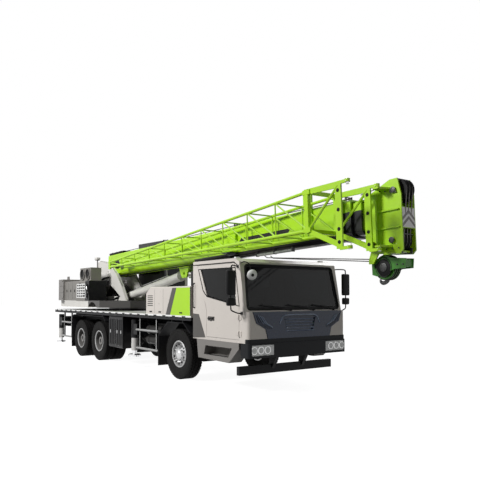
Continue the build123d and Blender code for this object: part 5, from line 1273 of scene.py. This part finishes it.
# hook block
hookPlace = Vector(joints["hook_swing"]["pos_m"])
sheaveSpot = hookPlace + Vector((0.193, 0, -0.098))
sheaveRim = [(0.196, 0.006), (0.200, 0.017), (0.204, 0.019), (0.204, 0.022), (0.192, 0.022), (0.192, 0.006)]
shape = bmesh.new()
for y in (-0.05, 0, 0.05):
    for rim in (sheaveRim, [(r, -along) for r, along in sheaveRim[:1] + sheaveRim[:0:-1]]):
        ringProfile(shape, rim, sheaveSpot + Vector((0, y, 0)), across, 40)
for side in (-1, 1):
    ringProfile(shape, [(0.001, 0.004), (0.13, 0.004), (0.14, -0.002), (0.155, 0.004), (0.160, -0.002),
                        (0.001, -0.002)],
                sheaveSpot + Vector((0, side * 0.105, 0)), (0, side, 0), 40)
piece("hookSheaveRims", shape, "hook_block", blackPlastic, smooth=40)
shape = bmesh.new()
for side in (-1, 1):
    spot = sheaveSpot + Vector((0, side * 0.105, 0))
    stud(shape, spot, side, 0.016, 0.07, 28, bevel=0.004)
    boltRing(shape, spot, 0.05, 6, side, 0.023, 0.009)
    for dx in (0.45, 0.56):
        stud(shape, hookPlace + Vector((dx, side * 0.105, -0.06)), side, 0.010, 0.014)
piece("hookBolts", shape, "hook_block", darkSteel, smooth=35)

# hook itself, hanging back along the block
hookLine = [(0.19, -0.24), (0.19, -0.30), (0.15, -0.335), (0.10, -0.345), (0.06, -0.325), (0.045, -0.285)]
line = smoothPath([hookPlace + Vector((x, 0, z)) for x, z in hookLine], 4)
sizes = [1 - 0.6 * max(0, i / (len(line) - 1) - 0.6) / 0.4 for i in range(len(line))]
rope("hook", line, 0.034, "hook_block", darkSteel, sides=5, swell=sizes)

# tie ropes from the block back over the cab's roof
for i, (y, foot, z) in enumerate(((-0.085, (1.62, 2.570), 2.385), (0.03, (1.68, 2.560), 2.352))):
    rope(f"tieRope_{i + 1}", [at(foot[0] - 0.08, y, foot[1] + 0.05), at(foot[0], y, foot[1]), at(4.285, y, z)],
         ropeRadius, "boom_base", ropeSteel)
print("boom dressed")


# seats and controls
seat = {"crown": 0.16, "pull": 0.035, "round": 0.10, "cuts": 11, "lean": -0.145, "piping": 0.006}


def padPlace(middle, half, a, b, c):
    # where a point of the unit block lands: corners rounded, faces crowned, sides drawn in
    soft = seat["round"]
    x = a * (1 - soft * (b ** 8 + c ** 8)) * (1 - seat["pull"] * (1 - b * b))
    y = b * (1 - soft * (a ** 8 + c ** 8)) * (1 - seat["pull"] * (1 - a * a))
    z = c * (1 - soft * (a ** 8 + b ** 8)) * (1 - seat["crown"] + seat["crown"] * (1 - a * a) * (1 - b * b))
    return middle + Vector((x * half.x, y * half.y, z * half.z))


def pad(name, body, low, high, upright=False):
    # a padded cushion with piping; an upright one leans back about its low edge
    low, high = Vector(low), Vector(high)
    middle, half = (low + high) / 2, (high - low) / 2
    turn = Matrix.Identity(4)
    if upright:
        foot = Vector((low.x, 0, low.z))
        for spot, angle in ((foot, seat["lean"]), (middle, math.pi / 2)):
            turn = turn @ Matrix.Translation(spot) @ turned(angle, across) @ Matrix.Translation(-spot)
        half = Vector((half.z, half.y, half.x))
    shape = bmesh.new()
    bmesh.ops.create_cube(shape, size=2)
    bmesh.ops.subdivide_edges(shape, edges=shape.edges[:], cuts=seat["cuts"], use_grid_fill=True)
    for vert in shape.verts:
        vert.co = turn @ padPlace(middle, half, *vert.co)
    steps = [-1 + k / 5 for k in range(10)]
    loop = [(t, -1) for t in steps] + [(1, t) for t in steps]
    loop += [(-a, -b) for a, b in loop]
    for i, level in enumerate((-0.62, 0.62)):
        line = [turn @ padPlace(middle, half, a, b, level) for a, b in loop]
        rope(f"{name}Piping_{i + 1}", line, seat["piping"], body, softRubber, slot="seat_fabric", closed=True)
    made = piece(name, shape, body, seatCloth, smooth=60)
    return made


for side, hand in hands:
    y = side * 0.70
    cushion = pad(f"seatCushion_{hand}", "carrier", at(0.83, y - 0.245, 1.20), at(1.335, y + 0.245, 1.335))
    if side < 0:
        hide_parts("cab_interior")
    pad(f"seatBack_{hand}", "carrier", at(0.822, y - 0.23, 1.345), at(0.937, y + 0.23, 1.965), upright=True)
    shape = bmesh.new()
    box(shape, at(0.90, y - 0.19, 0.97), at(1.27, y + 0.19, 1.205), bevel=0.02, segments=2)
    piece(f"seatFoot_{hand}", shape, "carrier", blackPlastic, smooth=40)
shape = bmesh.new()
outline = ((2.334, 1.22), (2.334, 1.49), (2.10, 1.49), (1.97, 1.385), (2.08, 1.22))
plate(shape, [(frontAxle + x, z) for x, z in outline], -1.16, 1.16, "y", bevel=0.006)
box(shape, at(2.03, -0.25, 0.972), at(2.33, 0.25, 1.24), bevel=0.02, segments=2)
for y in (-0.55, -0.15, 0.25):
    box(shape, at(2.12, y, 1.485), at(2.20, y + 0.22, 1.497), bevel=0.004)
piece("dashboard", shape, "carrier", blackPlastic, smooth=30)
steering = {"radius": 0.209, "grip": 0.013, "spokes": 3}
shape = bmesh.new()
turn = Vector((-0.23, 0, 0.22)).to_track_quat("Z", "Y").to_matrix().to_4x4()
tilt = Matrix.Translation(at(1.82, 0.70, 1.56)) @ turn
rim = [math.tau * k / 10 for k in range(10)]
rim = [(steering["radius"] + steering["grip"] * math.cos(a), 0.012 + steering["grip"] * math.sin(a))
       for a in rim]
ringProfile(shape, rim, (0, 0, 0), upward, 40)
for i in range(steering["spokes"]):
    angle = math.tau * i / steering["spokes"] + math.pi / 2
    rod(shape, (0, 0, 0), (0.2 * math.cos(angle), 0.2 * math.sin(angle), 0.01), 0.012, 8)
rod(shape, (0, 0, -0.02), (0, 0, 0.02), 0.055, 24, bevel=0.006)
bmesh.ops.transform(shape, matrix=tilt, verts=shape.verts)
piece("steeringWheel", shape, "carrier", blackPlastic, smooth=50)
shape = bmesh.new()
rod(shape, at(2.05, 0.70, 1.34), at(1.835, 0.70, 1.545), 0.028, 16)
piece("steeringColumn", shape, "carrier", blackPlastic, smooth=40)

cushion = pad("operatorCushion", "superstructure", at(-4.84, 0.585, 1.93), at(-4.33, 1.045, 2.055))
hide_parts("operator_seat")
pad("operatorBack", "superstructure", at(-4.84, 0.585, 2.06), at(-4.725, 1.045, 2.70), upright=True)
shape = bmesh.new()
box(shape, at(-4.78, 0.665, 1.602), at(-4.42, 0.965, 1.935), bevel=0.02, segments=2)
for y, low, high in ((0.53, 0.52, 0.765), (1.10, 0.865, 1.11)):
    box(shape, at(-4.80, y - 0.033, 2.162), at(-4.33, y + 0.033, 2.238), bevel=0.012, segments=2)
    box(shape, at(-4.70, low, 2.0), at(-4.62, high, 2.04))
    box(shape, at(-4.70, y - 0.02, 2.0), at(-4.62, y + 0.02, 2.17))
    rod(shape, at(-4.40, y, 2.235), at(-4.38, y, 2.36), 0.010, 10, tip=0.018)
piece("operatorFoot", shape, "superstructure", blackPlastic, smooth=40)
print("seats and controls set")


# camera, floor and light
view = {"place": (10.223, -7.365, 1.767), "heading": 145.5, "rise": math.degrees(0.04), "focal": 41.21,
        "shift": (0.0585, 0.073)}
camera = bpy.data.cameras.new("camera")
camera.lens = view["focal"]
camera.sensor_width = 36
camera.shift_x, camera.shift_y = view["shift"]
camera.clip_end = 300
eye = bpy.data.objects.new("camera", camera)
eye.location = at(*view["place"])
eye.rotation_euler = (math.radians(90 + view["rise"]), 0, math.radians(view["heading"] - 90))
bpy.context.scene.collection.objects.link(eye)
bpy.context.scene.camera = eye


def seenRays(tree):
    # 1 for rays from the camera, or by way of metal and glass
    rays = tree.nodes.new("ShaderNodeLightPath")
    return combine(tree, "MAXIMUM", rays.outputs["Is Camera Ray"],
                   combine(tree, "MAXIMUM", rays.outputs["Is Glossy Ray"], rays.outputs["Is Transmission Ray"]))


backdrop = {"shade": 0.12, "glow": 0.93, "half": 110, "sky": 0.13}
floorMaterial, floorTree, floorShader = newMaterial("floorMaterial")
floorShader.inputs["Base Color"].default_value = (*[backdrop["shade"]] * 3, 1)
floorShader.inputs["Roughness"].default_value = 0.9
floorTree.links.new(combine(floorTree, "MULTIPLY", seenRays(floorTree), backdrop["glow"]),
                    floorShader.inputs["Emission Strength"])
floorShader.inputs["Emission Color"].default_value = (1, 1, 1, 1)
floorShape = bmesh.new()
bmesh.ops.create_grid(floorShape, x_segments=1, y_segments=1, size=backdrop["half"])
floorMesh = bpy.data.meshes.new("floor")
floorShape.to_mesh(floorMesh)
floorShape.free()
floorMesh.materials.append(floorMaterial)
floor = bpy.data.objects.new("floor", floorMesh)
bpy.context.scene.collection.objects.link(floor)
floor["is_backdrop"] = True

world = bpy.data.worlds.new("studio")
bpy.context.scene.world = world
world.use_nodes = True
sky = world.node_tree.nodes["Background"]
sky.inputs["Color"].default_value = (1, 1, 1, 1)
skyLight = combine(world.node_tree, "MAXIMUM", seenRays(world.node_tree), backdrop["sky"])
world.node_tree.links.new(skyLight, sky.inputs["Strength"])


def areaLight(name, place, target, size, power):
    lightData = bpy.data.lights.new(name, "AREA")
    lightData.shape = "RECTANGLE"
    lightData.size, lightData.size_y = size
    lightData.energy = power
    made = bpy.data.objects.new(name, lightData)
    made.location = place
    made.rotation_euler = (Vector(target) - Vector(place)).to_track_quat("-Z", "Y").to_euler()
    bpy.context.scene.collection.objects.link(made)


lights = {
    "keyLight": {"place": (-1, -15, 12), "target": (0, 0, 1.5), "size": (4, 4), "power": 3900},
    "frontLight": {"place": (16, -4, 8), "target": (2, 0, 1.5), "size": (5, 5), "power": 200},
    "backLight": {"place": (0, 15, 10), "target": (0, 0, 1.5), "size": (10, 8), "power": 1100},
}
for name, setting in lights.items():
    areaLight(name, **setting)
bpy.context.scene.view_settings.view_transform = "Standard"
print("camera and light set")

low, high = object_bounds()
